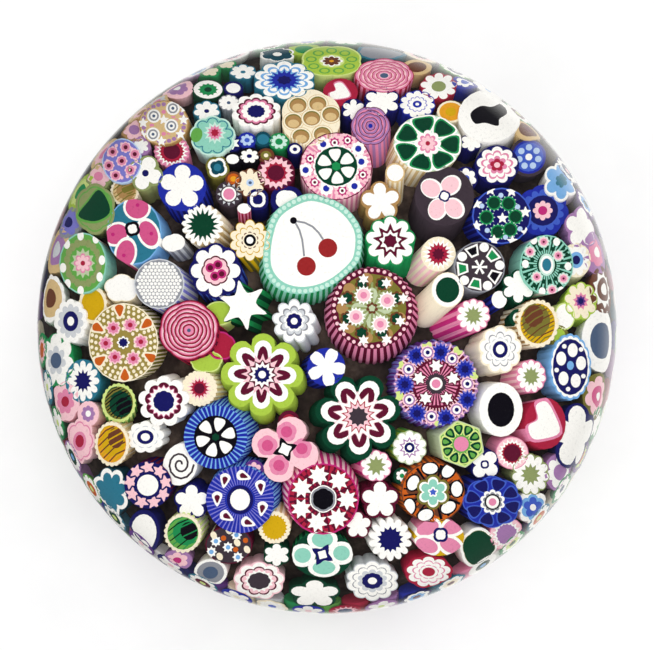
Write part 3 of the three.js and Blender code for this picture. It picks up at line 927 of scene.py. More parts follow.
millefiori("lavender_garden",
           nest(("pale_blue", 2.6), ("lavender", 2.45), tall=1.15)
           + petals(16, 1.9, 0.22, "light_pink", tall=1.15)
           + nests([("light_pink", 0.75, 8, 0.2), ("rose", 0.55), ("maroon", 0.28)], (0.5, 1.8),
                   (-1.7, -0.6), (-0.8, -1.9), (1.7, 0.9), (0.0, 0.0), (-1.2, 1.2), (1.1, -1.2)),
           lean=(0.6, -0.3))
millefiori("cobalt_blossom",
           nest(("cobalt", 3.2)) + petals(5, 1.85, 1.05, "white", 88) + nest(("white", 1.48)),
           lean=(0.5, -0.9), ribs=("cobalt", "navy", 24))
millefiori("lime_heart", lime_heart(), lean=(-0.3, 0.4))
millefiori("teal_petal", teal_petal(), lean=(0.8, -0.3))
millefiori("green_dot",
           nest(("mint", 3.1), ("leaf", 2.95), tall=1.3) + petals(18, 2.1, 0.42, "sage", tall=1.3)
           + nest(("leaf", 1.9, 12, 0.2, POINTED), ("pale_sage", 1.6, 12, 0.25, POINTED), tall=1.25)
           + spots("white", disc(0.42, 1.5), (-0.3, 3.6), (1.7, 3.2), (-2.1, 2.5), (2.5, 0.4), (-2.6, -0.6),
                   (2.2, -1.8), (-2.0, -2.7), (-0.3, -3.6))
           + nest(("rose", 1.2, 8, 0.3), ("light_pink", 1.0, 8, 0.35), ("crimson", 0.3), tall=1.1),
           lean=(0.5, 0.0))
millefiori("navy_ring",
           nest(("white", 2.2, 11, 0.12), ("pale_grey", 1.7, 11, 0.2), ("navy", 1.0), ("white", 0.45),
                tall=1.33),
           lean=(0.7, 0.0))
millefiori("basket", basket(), lean=(1.3, -0.6), ribs=("lavender", "pale_grey", 24))
millefiori("navy_blossom",
           nest(("navy", 3.5, 8, 0.1), ("white", 3.25, 8, 0.28, 0.6), ("maroon", 1.9, 8, 0.1),
                ("light_pink", 1.7, 8, 0.1), tall=1.05) + spots("magenta", disc(0.62), *NAVY_BLOSSOM_SEEDS)
           + spots("maroon", disc(0.36), *NAVY_BLOSSOM_SEEDS),
           lean=(0.5, -0.8), ribs=("navy", "blue", 22))
millefiori("green_burst", nest(("white", 2.8, 17, 0.24, 0.6), ("deep_green", 2.2, 17, 0.35, POINTED)),
           lean=(1.3, -0.5), ribs=("cream", "beige", 20))
millefiori("gold_scallop",
           scalloped(("mustard", 2.75), ("cream", 2.65), ("mustard", 1.95), ("cream", 1.8), ("brown", 1.15),
                     lobes=10, dip=0.22) + nest(("cream", 1.0), ("black", 0.8), ("white", 0.45)),
           lean=(1.2, -1.0), ribs=("mustard", "olive", 22))
millefiori("white_star", [("white", star(6, 3.3, 1.7, 100))], lean=(1.4, -0.3),
           ribs=("deep_green", "green", 18))
millefiori("grey_lace",
           scalloped(("pale_grey", 2.95), ("white", 2.75), ("grey", 2.05), ("pale_grey", 1.8),
                     ("white", 1.4), lobes=9, dip=0.24) + nest(("navy", 1.05, 9, 0.1), ("white", 0.45)),
           lean=(0.8, -1.0))
millefiori("blue_blossom", [("cobalt", disc(2.5)), ("white", lobed(5, 2.7, 0.6, 1.0, 65, 0.9))],
           lean=(-0.9, -0.3), ribs=("cobalt", "navy", 20))
millefiori("leaf_green",
           nest(("green", 3.35, 9, 0.12), ("white", 3.2, 9, 0.26, 0.6), ("maroon", 2.35, 9, 0.4, POINTED),
                ("white", 1.5, 9, 0.3, POINTED), ("maroon", 0.95, 7, 0.2, POINTED)),
           lean=(0.1, -1.9))
millefiori("white_tube", nest(("cream", 2.15), ("white", 2.05), ("deep_green", 1.55), tall=1.08),
           lean=(-2.2, -2.2))
millefiori("maroon_oval",
           nest(("white", 3.35, 9, 0.2, 0.6), ("maroon", 2.5, 9, 0.14), ("rose", 2.2, 18, 0.18, POINTED),
                ("white", 2.05, 18, 0.18, POINTED), ("navy", 1.4, 9, 0.08)),
           lean=(0.6, 0.5))
millefiori("navy_star",
           nest(("navy", 3.1)) + around(9, 2.35, "light_pink", lobed(5, 0.98, 0.5, shape=POINTED))
           + nest(("navy", 1.75), ("white", 1.4)),
           lean=(0.4, 0.5), ribs=("navy", "maroon", 24))
millefiori("spiral", [("white", disc(2.25, 1.25, -15)), ("charcoal", spiral_line(0.27))], lean=(0.6, 0.4),
           sink=0.3)
# Painted shade: amber is the lit wall, and mustard and brown are the painted shade of the hollow.
millefiori("amber_well", well("cream", "amber", "mustard", "brown", 2.3, 1.3, shade=50), lean=(0.5, 0.6),
           ribs=("cream", "beige", 22))
# Painted shade: leaf is the lit wall, and green and black are the painted shade of the hollow.
millefiori("green_well", well("cream", "leaf", "green", "black", 2.5, 1.05, shade=20, ridges=7),
           lean=(0.6, 0.7), ribs=("cream", "pale_lime", 22))
millefiori("crimson_heart",
           [("crimson", disc(2.7, 1.25)), ("rose", heart(2.6) * [0.95, 1.2]),
            ("white", heart(2.2) * [0.95, 1.2])],
           lean=(-0.9, -0.3))


# The small canes that fill the gaps: their places on the seen disc, right and up from its middle.

def white_flower(name, at, count=5, size=2.0, dip=0.42, body="navy", turn=90.0, tall=1.0, eye=None,
                 lean=(0.0, -0.6), sink=None):
    """A plain white flower, with a small eye and a dark coat that shows between its petals."""
    layers = [(body, lobed(count, size * 1.08, dip * 0.45, tall, turn)),
              ("white", lobed(count, size, dip, tall, turn))]
    if eye:
        layers += nest((eye, size * 0.2), tall=tall)
    millefiori(name, layers, at=at, lean=lean, sink=sink)


def ringed(name, at, *rings, tall=1.0, turn=90.0, lean=(0.0, -0.6), ribs=None, sink=None):
    """A small cane of nested rings."""
    millefiori(name, nest(*rings, tall=tall, turn=turn), at=at, lean=lean, ribs=ribs, sink=sink)


def upper_middle():
    ringed("navy_block", (-9.1, 16.6), ("navy", 1.5, 4, 0.1), ("white", 1.1, 4, 0.1), ("navy", 0.7, 4, 0.1),
           turn=45)
    ringed("black_oval", (-5.3, 16.6), ("navy", 2.2, 4, 0.06), ("white", 1.5, 4, 0.1), tall=0.85, turn=40)
    ringed("white_drop", (-10.9, 15.4), ("white", 0.9), tall=0.75, lean=(0, -1.5),
           ribs=("crimson", "rose", 10))
    ringed("pink_disc", (-12.9, 17.3), ("charcoal", 1.75), ("pale_grey", 1.55, 12, 0.3, POINTED),
           ("charcoal", 1.15), ("white", 0.98), ("rose", 0.75))
    ringed("peach_flower", (-10.1, 18.8), ("brown", 2.0, 9, 0.1), ("cream", 1.95, 9, 0.36, 0.7),
           ("pale_blue", 0.5), ("slate", 0.22), tall=0.95)
    ringed("amber_bud", (-12.3, 19.3), ("brown", 1.1), ("orange", 0.8), ("amber", 0.4), tall=0.9)
    ringed("burgundy_burst", (-6.7, 20.1), ("maroon", 2.5), ("light_pink", 2.35, 18, 0.2, POINTED),
           ("crimson", 1.6, 12, 0.2, POINTED), ("maroon", 1.1), tall=0.92)
    ringed("teal_triangle", (-14.4, 20.8), ("olive", 1.6, 4, 0.1), ("white", 1.35, 4, 0.2),
           ("deep_teal", 1.0, 4, 0.2), ("teal", 0.5), turn=60)
    ringed("white_bean", (-12.4, 21.9), ("black", 1.2), ("white", 0.85), tall=0.75)
    ringed("white_star_bud", (-12.4, 24.0), ("navy", 1.2), ("white", 1.0, 6, 0.45, POINTED), tall=0.9)
    ringed("blue_bud", (-10.5, 24.4), ("cobalt", 1.2), ("pale_blue", 0.9, 7, 0.3), ("blue", 0.35),
           tall=0.85)
    ringed("teal_bud", (-8.4, 24.5), ("deep_teal", 1.2, 3, 0.1), ("teal", 0.8), tall=0.85)
    ringed("mint_frill", (-6.3, 24.2), ("green", 1.35), ("pale_mint", 1.15, 9, 0.3), ("green", 0.5),
           tall=0.85)
    ringed("white_floret", (-10.2, 22.3), ("black", 1.5), ("white", 1.25, 7, 0.3), ("navy", 0.35),
           tall=0.75)
    ringed("olive_bud", (-8.0, 22.4), ("brown", 1.1), ("olive", 0.7), ("cream", 0.3), tall=0.85)
    ringed("cream_spot", (-4.2, 23.2), ("navy", 1.0), ("white", 0.7), ("navy", 0.3), tall=0.85)
    white_flower("edge_flower_one", (-15.8, 28.2), 7, 1.7, 0.3, "teal", tall=0.75, eye="navy")
    ringed("green_rim_burst", (-15.6, 31.0), ("deep_green", 2.1), ("white", 1.9),
           ("green", 1.35, 12, 0.2, POINTED), ("deep_green", 0.5), tall=0.62)
    ringed("white_oval_bud", (-12.3, 31.2), ("navy", 1.3), ("white", 0.95), tall=0.68)
    white_flower("grey_frill", (-12.9, 29.3), 10, 1.3, 0.2, "grey", tall=0.75, eye="slate")
    white_flower("pale_blue_flower", (-11.0, 33.3), 7, 1.7, 0.3, "teal", tall=0.55, eye="teal")
    ringed("cream_petal_left", (-15.4, 33.4), ("green", 1.6, 5, 0.2), ("cream", 1.2, 5, 0.3), tall=0.55)
    ringed("cream_petal_right", (-13.2, 34.3), ("green", 1.4, 5, 0.2), ("cream", 1.1, 5, 0.3), tall=0.5)
    ringed("teal_lobe", (-6.5, 35.6), ("white", 2.4, 6, 0.2), ("deep_teal", 2.1, 6, 0.2), ("white", 0.6),
           tall=0.4)
    millefiori("crimson_heart_bud",
               [("crimson", disc(2.3, 0.78)), ("rose", heart(1.55) * [1, 0.85]),
                ("white", heart(1.35) * [1, 0.85])],
               at=(1.8, 30.7), lean=(0.0, -0.8))
    ringed("white_star_cane", (3.5, 28.4), ("navy", 1.6), ("white", 1.5, 6, 0.5), tall=0.9)
    white_flower("navy_petal_flower", (7.2, 29.3), 6, 2.3, 0.42, "navy", tall=0.8, sink=0.0)
    ringed("blue_ring_frill", (11.9, 29.1), ("cobalt", 2.4, 11, 0.08), ("white", 2.3, 11, 0.22),
           ("lavender", 1.35, 11, 0.2), ("white", 1.2, 11, 0.2), ("cobalt", 0.6), ("white", 0.25),
           tall=0.76)
    ringed("white_grey_flower", (14.7, 31.4), ("crimson", 2.45, 9, 0.1), ("white", 2.4, 9, 0.32, 0.6),
           ("sage", 0.95), tall=0.72)
    ringed("amber_disc", (16.3, 28.1), ("cream", 1.8), ("amber", 1.5), ("mustard", 0.7), tall=0.8)
    ringed("blue_bit", (18.2, 32.0), ("cobalt", 1.8), ("white", 1.3, 6, 0.3), ("blue", 0.6), tall=0.55)
    white_flower("small_right_flower", (19.0, 24.1), 6, 1.35, 0.35, "navy", tall=0.85)
    ringed("grey_teal_band", (7.2, 35.9), ("teal", 3.4, 12, 0.05), ("grey", 2.9, 12, 0.05), tall=0.32)
    ringed("beige_edge", (11.8, 33.9), ("beige", 2.0), ("brown", 1.3), tall=0.5)
    ringed("lime_edge", (-2.9, 36.2), ("lime", 2.2, 6, 0.1), ("green", 1.3), tall=0.38)


def right_side():
    ringed("ruffled_pink", (22.4, 21.1), ("navy", 2.9), ("white", 2.7, 9, 0.2), ("rose", 2.15, 9, 0.25),
           ("white", 1.85, 9, 0.25), ("rose", 1.35, 7, 0.3), ("crimson", 0.95, 5, 0.3), ("light_pink", 0.4),
           tall=0.9)
    millefiori("cobalt_dots",
               nest(("charcoal", 2.6), ("cobalt", 2.2), ("blue", 1.9)) + petals(7, 1.25, 0.42, "pale_blue")
               + nest(("white", 0.45)),
               at=(26.6, 22.2), sink=0.65)
    ringed("brown_edge", (26.6, 25.9), ("beige", 2.0), ("brown", 1.4), ("maroon", 0.6), tall=0.8)
    ringed("blue_eye_flower", (18.3, 19.3), ("navy", 1.6), ("white", 1.4, 7, 0.25), ("blue", 0.5))
    ringed("cyan_edge", (30.8, 19.0), ("white", 2.35, 6, 0.2), ("sky", 2.1, 6, 0.35), ("teal", 0.8, 6, 0.3),
           tall=1.15)
    ringed("beige_stem", (9.0, 20.1), ("beige", 1.3), ("white", 1.1), lean=(0.3, -2.4),
           ribs=("beige", "cream", 12))
    white_flower("middle_white_flower", (7.1, 16.3), 5, 2.5, 0.5, "tan", 95)
    ringed("maroon_tooth", (14.7, 9.4), ("cream", 2.3), ("white", 2.15, 18, 0.3, POINTED),
           ("crimson", 1.6, 16, 0.3, POINTED), ("maroon", 0.9, 10, 0.3, POINTED), lean=(-1.7, -1.5),
           ribs=("cream", "light_pink", 16))
    ringed("pink_rib_petals", (19.3, 1.3), ("rose", 2.25, 11, 0.1), ("white", 2.15, 11, 0.3, 0.6),
           ("sage", 1.3, 11, 0.4, POINTED), lean=(-3.0, -1.2), ribs=("magenta", "rose", 11))
    ringed("white_bead", (22.7, 3.4), ("white", 1.0), tall=1.15, lean=(-1.2, -0.9),
           ribs=("cobalt", "navy", 8))
    white_flower("white_six_petal", (25.2, 5.1), 6, 2.1, 0.4, "deep_green")
    ringed("cobalt_floret", (28.5, 15.2), ("cobalt", 3.4, 7, 0.1), ("blue", 2.8, 14, 0.2), ("navy", 2.0),
           ("light_pink", 1.3, 8, 0.25), ("magenta", 0.6), sink=0.75)
    ringed("blue_violet_flower", (32.8, 8.6), ("cream", 1.9), ("white", 1.75, 9, 0.25), ("sky", 0.9),
           ("navy", 0.5), tall=1.2)
    ringed("yellow_purple_star", (33.4, 3.2), ("lime", 2.2, 9, 0.1), ("cream", 2.1, 9, 0.32, 0.6),
           ("rose", 1.05, 9, 0.3, POINTED), ("purple", 0.7, 8, 0.3, POINTED), ("navy", 0.35), tall=1.15)
    ringed("brown_tooth_edge", (36.5, 4.8), ("brown", 2.0), ("white", 1.6, 10, 0.25, POINTED),
           ("brown", 1.0), ("white", 0.5), tall=1.6, lean=(0, 0))
    ringed("mauve_edge", (35.6, 9.7), ("mauve", 2.0), ("rose", 1.3, 6, 0.2), ("white", 0.5), tall=1.5,
           lean=(0, 0))
    white_flower("mauve_edge_flower", (33.6, 12.9), 5, 2.2, 0.4, "mauve", tall=1.2, lean=(0, 0))
    ringed("pink_side_cane", (26.9, -6.7), ("rose", 2.0, 11, 0.08), ("white", 1.9, 11, 0.28, 0.6),
           ("sage", 1.15, 11, 0.35, POINTED), tall=1.12, lean=(-1.2, -0.2), ribs=("rose", "light_pink", 16))
    ringed("blue_check_flower", (20.8, -18.3), ("navy", 2.05, 4, 0.16), ("white", 1.95, 4, 0.42),
           ("navy", 0.6, 4, 0.1), ("white", 0.34, 4, 0.1), turn=50, lean=(-0.3, 0.6))
    ringed("maroon_white_tooth", (24.4, -16.8), ("rose", 2.15), ("light_pink", 2.05),
           ("white", 1.9, 18, 0.22, POINTED), ("crimson", 1.45, 18, 0.15, POINTED), ("maroon", 1.1),
           lean=(-0.5, 0.5))
    ringed("grey_green_petals", (26.8, -19.6), ("sage", 2.5, 11, 0.1), ("white", 2.4, 11, 0.28, 0.6),
           ("sage", 1.35, 11, 0.35, POINTED), tall=1.1, lean=(-0.4, 0.5))
    ringed("mauve_white_edge", (30.7, -19.3), ("mauve", 2.1), ("white", 1.8, 7, 0.25), ("mauve", 0.9),
           tall=1.2, lean=(0, 0.3))
    ringed("blue_white_small", (27.1, -23.9), ("white", 2.1, 8, 0.2), ("sky", 1.6, 6, 0.2),
           ("blue", 1.25, 5, 0.35), ("white", 0.4), tall=1.1, lean=(-0.3, 0.4))
    white_flower("navy_edge_flower", (32.8, -14.7), 5, 3.2, 0.42, "navy", tall=1.3, lean=(0, 0), sink=0.1)
    ringed("slate_ring_edge", (36.1, -2.0), ("white", 2.6), ("slate", 1.5), tall=1.6, lean=(0, 0))
    ringed("pink_white_edge", (35.8, -9.3), ("olive", 2.2), ("light_pink", 1.9, 7, 0.25), ("pink", 1.0),
           ("white", 0.4), tall=1.4, lean=(0, 0))
    ringed("lime_white_oval", (31.3, 1.2), ("pale_lime", 1.35), ("white", 1.2), tall=1.35, lean=(-0.6, 0.0))
    ringed("olive_bud_right", (30.6, -1.4), ("olive", 1.2), ("lime", 0.8), tall=1.2)
    ringed("green_bud_right", (25.2, 1.0), ("deep_green", 1.2), ("white", 0.7), ("green", 0.4))


def left_side():
    ringed("maroon_spikes", (-20.4, 22.9), ("rose", 2.35, 20, 0.1), ("white", 2.2, 20, 0.25, POINTED),
           ("crimson", 1.7, 20, 0.15, POINTED), ("maroon", 1.1), tall=0.92)
    white_flower("small_four_petal", (-23.8, 19.9), 4, 2.2, 0.45, "sage", 70, eye="navy", sink=0.0)
    ringed("pale_bits_one", (-25.3, 25.7), ("tan", 1.8, 7, 0.1), ("light_pink", 1.5, 7, 0.25),
           ("mauve", 0.7), tall=0.9)
    ringed("pale_bits_two", (-22.4, 29.6), ("beige", 1.7, 7, 0.1), ("pale_grey", 1.4, 7, 0.25),
           ("rose", 0.6), tall=0.8)
    ringed("pale_bits_three", (-30.0, 19.6), ("sage", 1.8, 7, 0.1), ("light_pink", 1.5, 7, 0.25),
           ("rose", 0.6))
    ringed("pale_bits_four", (-24.4, 23.6), ("mauve", 1.3, 7, 0.1), ("white", 1.0, 6, 0.4))
    ringed("dark_gap_left", (-34.0, 13.6), ("grey", 1.9, 7, 0.1), ("lavender", 1.5, 7, 0.25), ("navy", 0.6),
           tall=1.2)
    # Painted shade: beige is the lit wall, and tan and olive are the painted shade of the hollow.
    millefiori("beige_well", well("cream", "beige", "tan", "olive", 1.9, 1.0, shade=50, ridges=7),
               at=(-26.6, 17.6))
    ringed("pink_beige_edge", (-29.5, 23.0), ("beige", 2.4), ("light_pink", 1.8, 8, 0.2), ("rose", 0.9),
           tall=1.1, lean=(0, 0))
    ringed("beige_top_edge", (-24.6, 28.6), ("beige", 2.2), ("light_pink", 1.4, 6, 0.2), ("tan", 0.7),
           tall=0.8, lean=(0, 0))
    ringed("pink_top_edge", (-19.7, 31.2), ("light_pink", 2.2), ("mauve", 1.5, 7, 0.2), ("white", 0.5),
           tall=0.65, lean=(0, 0))
    ringed("lime_field_edge", (-32.6, 17.8), ("lime", 2.4), ("pale_lime", 1.8, 6, 0.15), ("green", 1.0),
           tall=1.2, lean=(0, 0))
    ringed("two_lobe_white", (-20.2, 10.9), ("white", 1.55, 2, 0.2), tall=0.85, turn=20, lean=(0.7, -0.6),
           ribs=("grey", "pale_grey", 10))
    ringed("pale_left_flower", (-27.0, 4.9), ("cream", 2.35, 5, 0.12), ("white", 2.25, 5, 0.16), tall=0.8)
    ringed("mustard_oval", (-30.8, 2.7), ("cream", 1.9, 18, 0.08), ("mustard", 1.5), tall=1.35,
           lean=(0.6, 0.0), ribs=("cream", "beige", 14))
    ringed("brown_gradient_edge", (-36.4, 3.6), ("white", 2.0, 12, 0.08), ("beige", 1.6), ("brown", 0.8),
           tall=1.6, lean=(0, 0))
    ringed("violet_grey_edge", (-35.8, 10.2), ("beige", 2.2), ("mauve", 1.5), ("pale_grey", 0.8), tall=1.5,
           lean=(0, 0))
    ringed("magenta_petal", (-13.9, -2.7), ("magenta", 1.9, 5, 0.08), ("crimson", 1.7, 5, 0.08))
    ringed("lime_leaf", (-15.9, -4.7), ("pale_lime", 2.2, 5, 0.1), ("lime", 2.0, 5, 0.1), tall=0.7)
    ringed("lime_band", (-14.2, 1.6), ("pale_lime", 2.0), ("lime", 1.8), tall=0.8)
    ringed("purple_edge_flower", (-35.6, -4.6), ("green", 2.4, 7, 0.1), ("white", 2.35, 7, 0.3, 0.7),
           ("pale_grey", 1.3, 7, 0.35), ("slate", 0.7), tall=1.5, lean=(0.4, 0))
    ringed("teal_burst", (-32.1, -7.3), ("teal", 2.3), ("white", 2.15, 12, 0.32, 0.6),
           ("navy", 1.25, 12, 0.35, POINTED), tall=1.25, lean=(0.5, 0))
    ringed("mauve_spot_one", (-31.4, -11.6), ("light_pink", 1.4), ("mauve", 0.9, 8, 0.2), ("white", 0.35),
           tall=1.2, lean=(0.3, 0))
    ringed("mauve_spot_two", (-34.4, -10.0), ("light_pink", 1.9, 7, 0.1), ("rose", 1.2, 7, 0.25),
           ("crimson", 0.5), tall=1.4, lean=(0.3, 0))
    # Painted shade: olive is the lit wall, and deep green and black are the painted shade of the hollow.
    millefiori("deep_green_well", well("pale_lime", "olive", "deep_green", "black", 2.3, 1.15, shade=-30),
               at=(-27.4, -10.2), lean=(-0.6, -0.7), ribs=("pale_lime", "leaf", 18))
    ringed("cream_maroon_core", (-16.8, -8.3), ("cream", 2.4, 22, 0.08),
           ("light_pink", 1.65, 18, 0.35, POINTED), ("crimson", 1.3, 14, 0.3, POINTED), ("maroon", 0.7),
           lean=(1.3, 0.2), ribs=("cream", "beige", 22))
    ringed("pale_blue_ring", (-23.9, -14.7), ("white", 2.5, 9, 0.16), ("pale_grey", 1.75, 9, 0.16),
           ("white", 1.6), ("navy", 1.1), ("white", 0.6), tall=0.85, lean=(0.3, 0.3))
    ringed("pink_maroon_edge", (-32.5, -15.2), ("light_pink", 2.0, 8, 0.14), ("rose", 1.75, 8, 0.14),
           ("light_pink", 1.6, 8, 0.14), ("rose", 0.85), ("crimson", 0.55), tall=1.5, lean=(0.4, 0.2))
    ringed("teal_zigzag_edge", (-28.5, -22.0), ("deep_teal", 2.6, 8, 0.1), ("white", 2.55, 8, 0.2),
           ("teal", 2.1, 8, 0.3), tall=1.3, turn=60, lean=(0.3, 0.3))
    white_flower("lower_left_flower", (-17.8, -23.2), 5, 2.2, 0.42, "navy", lean=(0.4, 0.5))
    ringed("beige_white_oval", (-24.1, -27.2), ("navy", 2.15), ("white", 1.7), tall=1.4, lean=(0.4, 0.4))
    ringed("pink_bits", (-19.7, -30.9), ("mauve", 2.0), ("light_pink", 1.5, 6, 0.25), ("magenta", 0.6),
           tall=0.7, lean=(0, 0.4))


def mixed_florets():
    """Many tiny florets set close together on a dark field."""
    floret = (("white", 0.75, 8, 0.3, POINTED), ("sky", 0.3))
    return (nest(("maroon", 3.1), ("charcoal", 2.95), tall=0.8)
            + nests(floret, (1.0, 1.3), (-0.1, -0.3), (-1.7, 0.5), (1.2, -1.6), (-2.3, -0.9))
            + spots("orange", disc(0.35), (-0.7, 0.9), (2.2, 0.6), (0.9, -0.6))
            + spots("cream", disc(0.4, 1.3, 30), (-1.2, -1.5), (2.4, -0.6), (0.0, 1.9), (-2.0, 1.3),
                    (1.1, 0.3)))


def lower_middle():
    ringed("mustard_well", (-6.9, -26.6), ("cream", 2.2, 22, 0.1), ("mustard", 1.75, 22, 0.14, POINTED),
           lean=(0.3, 0.9), ribs=("cream", "beige", 16))
    white_flower("lower_white_flower", (-6.6, -30.2), 6, 1.7, 0.35, "deep_green", tall=0.85,
                 lean=(0.0, 0.5))
    millefiori("mixed_florets", mixed_florets(), at=(-12.9, -28.9), lean=(0.2, 0.5))
    white_flower("edge_five_petal", (-1.6, -35.3), 5, 3.2, 0.42, "deep_green", tall=0.55, lean=(0.0, 0.4))
    ringed("pink_purple_flower", (-8.9, -33.6), ("light_pink", 3.4, 9, 0.1), ("white", 3.25, 9, 0.18),
           ("maroon", 2.55, 9, 0.16), ("light_pink", 2.3, 9, 0.16), ("white", 2.0, 16, 0.18, POINTED),
           ("charcoal", 1.5, 8, 0.1), tall=0.74, lean=(0.1, 0.5))
    ringed("grey_oval", (-15.3, -32.5), ("white", 2.2), ("grey", 1.8), ("slate", 1.0), tall=0.8,
           lean=(0.2, 0.5))
    white_flower("small_lower_flower", (4.1, -26.3), 5, 1.7, 0.4, "maroon", lean=(0.0, 0.5))
    white_flower("lower_five_petal", (7.0, -23.0), 5, 2.4, 0.45, "maroon", lean=(-0.3, 0.6))
    ringed("navy_ring_frill", (6.0, -33.6), ("pale_grey", 3.5, 10, 0.14), ("white", 3.35, 10, 0.16),
           ("grey", 2.75, 10, 0.2), ("white", 2.6, 10, 0.2), ("pale_grey", 2.0, 10, 0.2),
           ("navy", 1.4, 10, 0.08), ("white", 0.6), tall=0.75, lean=(0.0, 0.5))
    ringed("grey_pink_flower", (6.5, -18.5), ("rose", 2.1, 9, 0.1), ("white", 2.0, 9, 0.25, 0.6),
           ("sage", 1.35, 9, 0.4, POINTED), lean=(-1.2, 0.3), ribs=("magenta", "rose", 8))
    ringed("ten_petal_flower", (10.9, -16.1), ("pale_sage", 2.3, 10, 0.1), ("white", 2.2, 10, 0.25, 0.6),
           ("mauve", 1.4, 10, 0.3, POINTED), ("white", 1.1, 10, 0.3, POINTED), ("navy", 0.68),
           ("white", 0.32), lean=(-0.6, 0.3), ribs=("lime", "leaf", 16))
    ringed("pink_red_flower", (13.4, -32.4), ("crimson", 3.2, 9, 0.06), ("white", 2.9, 9, 0.22, 0.6),
           ("rose", 2.2, 9, 0.2), ("white", 2.0, 9, 0.2), ("rose", 1.35, 9, 0.1), ("white", 1.2),
           ("crimson", 0.85), tall=0.68, lean=(0.0, 0.5))
    ringed("deep_green_egg", (20.0, -29.3), ("white", 2.5, 5, 0.06), ("sage", 2.15, 5, 0.06),
           ("deep_green", 2.1, 5, 0.06), tall=1.1, lean=(-0.3, 0.4))
    ringed("mauve_tooth_disc", (23.7, -27.5), ("rose", 2.3), ("light_pink", 2.2),
           ("white", 1.95, 18, 0.22, POINTED), ("mauve", 1.45, 18, 0.1, POINTED), lean=(-0.3, 0.4))
    ringed("maroon_gap_bud", (-5.0, -12.6), ("maroon", 1.4), ("crimson", 0.9), ("rose", 0.4))
    ringed("purple_gap_bud", (-9.6, -19.0), ("purple", 1.3), ("light_pink", 1.0, 6, 0.3), ("purple", 0.4))
    ringed("green_gap_bud", (9.9, -19.8), ("deep_green", 1.1), ("white", 0.8, 6, 0.3), ("green", 0.3))


upper_middle()
right_side()
left_side()
lower_middle()


# The sides of the mound, below what the eye sees from above.

ROW_STEP = 3.9
FIRST_ROW = 35.4
LOWEST_ROW = 12.5
ROW_CANES = 48
ROWS = 9
SMALL_RADIUS = 2.15
CLEARANCE = 0.72
RIB_COUNT = 60
RIB_TOP = 17.5
RIB_FOOT = 5.6
RIB_INSET = 1.9
RIB_OVERLAP = 1.08
RIB_FLATNESS = 0.8
RIB_STEPS = 12
RIB_CORNERS = 8
COATS = ("cobalt", "crimson", "green", "white", "teal", "mauve", "cream", "navy", "rose", "leaf",
         "pale_grey", "purple")
MIDDLES = ("maroon", "navy", "deep_green", "magenta", "blue", "orange", "slate")
HEARTS = ("white", "light_pink", "pale_lime", "cream", "sky")


def small_pattern(kind, coat, middle, heart):
    """One of four plain patterns for a small cane."""
    if kind == 0:
        return nest((coat, 2.3), ("white", 2.1, 9, 0.22), (middle, 1.2), (heart, 0.5))
    if kind == 1:
        return nest((coat, 2.3), (heart, 1.9, 14, 0.3, POINTED), (middle, 1.1, 7, 0.2))
    if kind == 2:
        return nest((coat, 2.3, 7, 0.12), ("white", 1.9, 7, 0.2), (heart, 1.3, 7, 0.25), (middle, 0.6))
    return nest((coat, 2.3), ("white", 2.0, 5, 0.45), (heart, 0.5))


def is_clear(point):
    """Whether a small cane at this point stays off the canes placed so far."""
    return all((np.linalg.norm(point - other) > CLEARANCE * (SMALL_RADIUS + radius)
                for other, radius in placed))


def side_canes():
    """Rows of small canes down the sides, wherever there is room for one."""
    chance = random.Random(5)
    made = 0
    for row in range(ROWS):
        reach = FIRST_ROW + row * ROW_STEP
        for k in range(ROW_CANES):
            angle = (k + row % 2 / 2) * 2 * math.pi / ROW_CANES
            at = (reach * math.cos(angle), reach * math.sin(angle))
            point = on_mound(at)[0]
            if point[2] < LOWEST_ROW or not is_clear(point):
                continue
            made += 1
            pattern = small_pattern(chance.randrange(4), chance.choice(COATS), chance.choice(MIDDLES),
                                    chance.choice(HEARTS))
            millefiori(f"side_{made:03d}", pattern, at=at)


def base_rib(k):
    """A drawn-out cane end that runs down the ground to the base, thinner as it goes."""
    angle = k * 2 * math.pi / RIB_COUNT
    points, grain = [], []
    for height in np.linspace(RIB_TOP, RIB_FOOT, RIB_STEPS):
        level = (height - MOUND_MIDDLE) / (MOUND_HALF - 1)
        reach = (MOUND_RADIUS - RIB_INSET) * math.sqrt(1 - level**2)
        width = math.pi * reach / RIB_COUNT * RIB_OVERLAP
        for c in range(RIB_CORNERS):
            turn = c * 2 * math.pi / RIB_CORNERS
            out = reach + RIB_FLATNESS * width * math.cos(turn)
            across = width * math.sin(turn)
            points.append((out * math.cos(angle) - across * math.sin(angle),
                           out * math.sin(angle) + across * math.cos(angle), height))
            grain.append((width * math.cos(turn), width * math.sin(turn), height * DEPTH_GRAIN))
    faces = []
    for low in range(0, (RIB_STEPS - 1) * RIB_CORNERS, RIB_CORNERS):
        for c in range(RIB_CORNERS):
            after = (c + 1) % RIB_CORNERS
            faces.append([low + c, low + after, low + RIB_CORNERS + after, low + RIB_CORNERS + c])
    faces.append(list(range(RIB_CORNERS))[::-1])
    faces.append(list(range((RIB_STEPS - 1) * RIB_CORNERS, RIB_STEPS * RIB_CORNERS)))
    colour = COATS[5 * k % len(COATS) - k % 3]
    piece = new_piece(f"base_rib_{k + 1:02d}", points, faces, [0] * len(faces), [glass_material(colour)])
    set_grain(piece, grain)
    piece.data.polygons.foreach_set("use_smooth", [len(face) == 4 for face in faces])


side_canes()
for rib in range(RIB_COUNT):
    base_rib(rib)


# The clear dome, the dark brown glass between the canes, and the stage.

LATHE_STEPS = 144
FOOT_EDGE = 0.6
BASE_HOLLOW = 0.9
GROUND_DEPTH = 3.2
GROUND_FOOT = 5.2


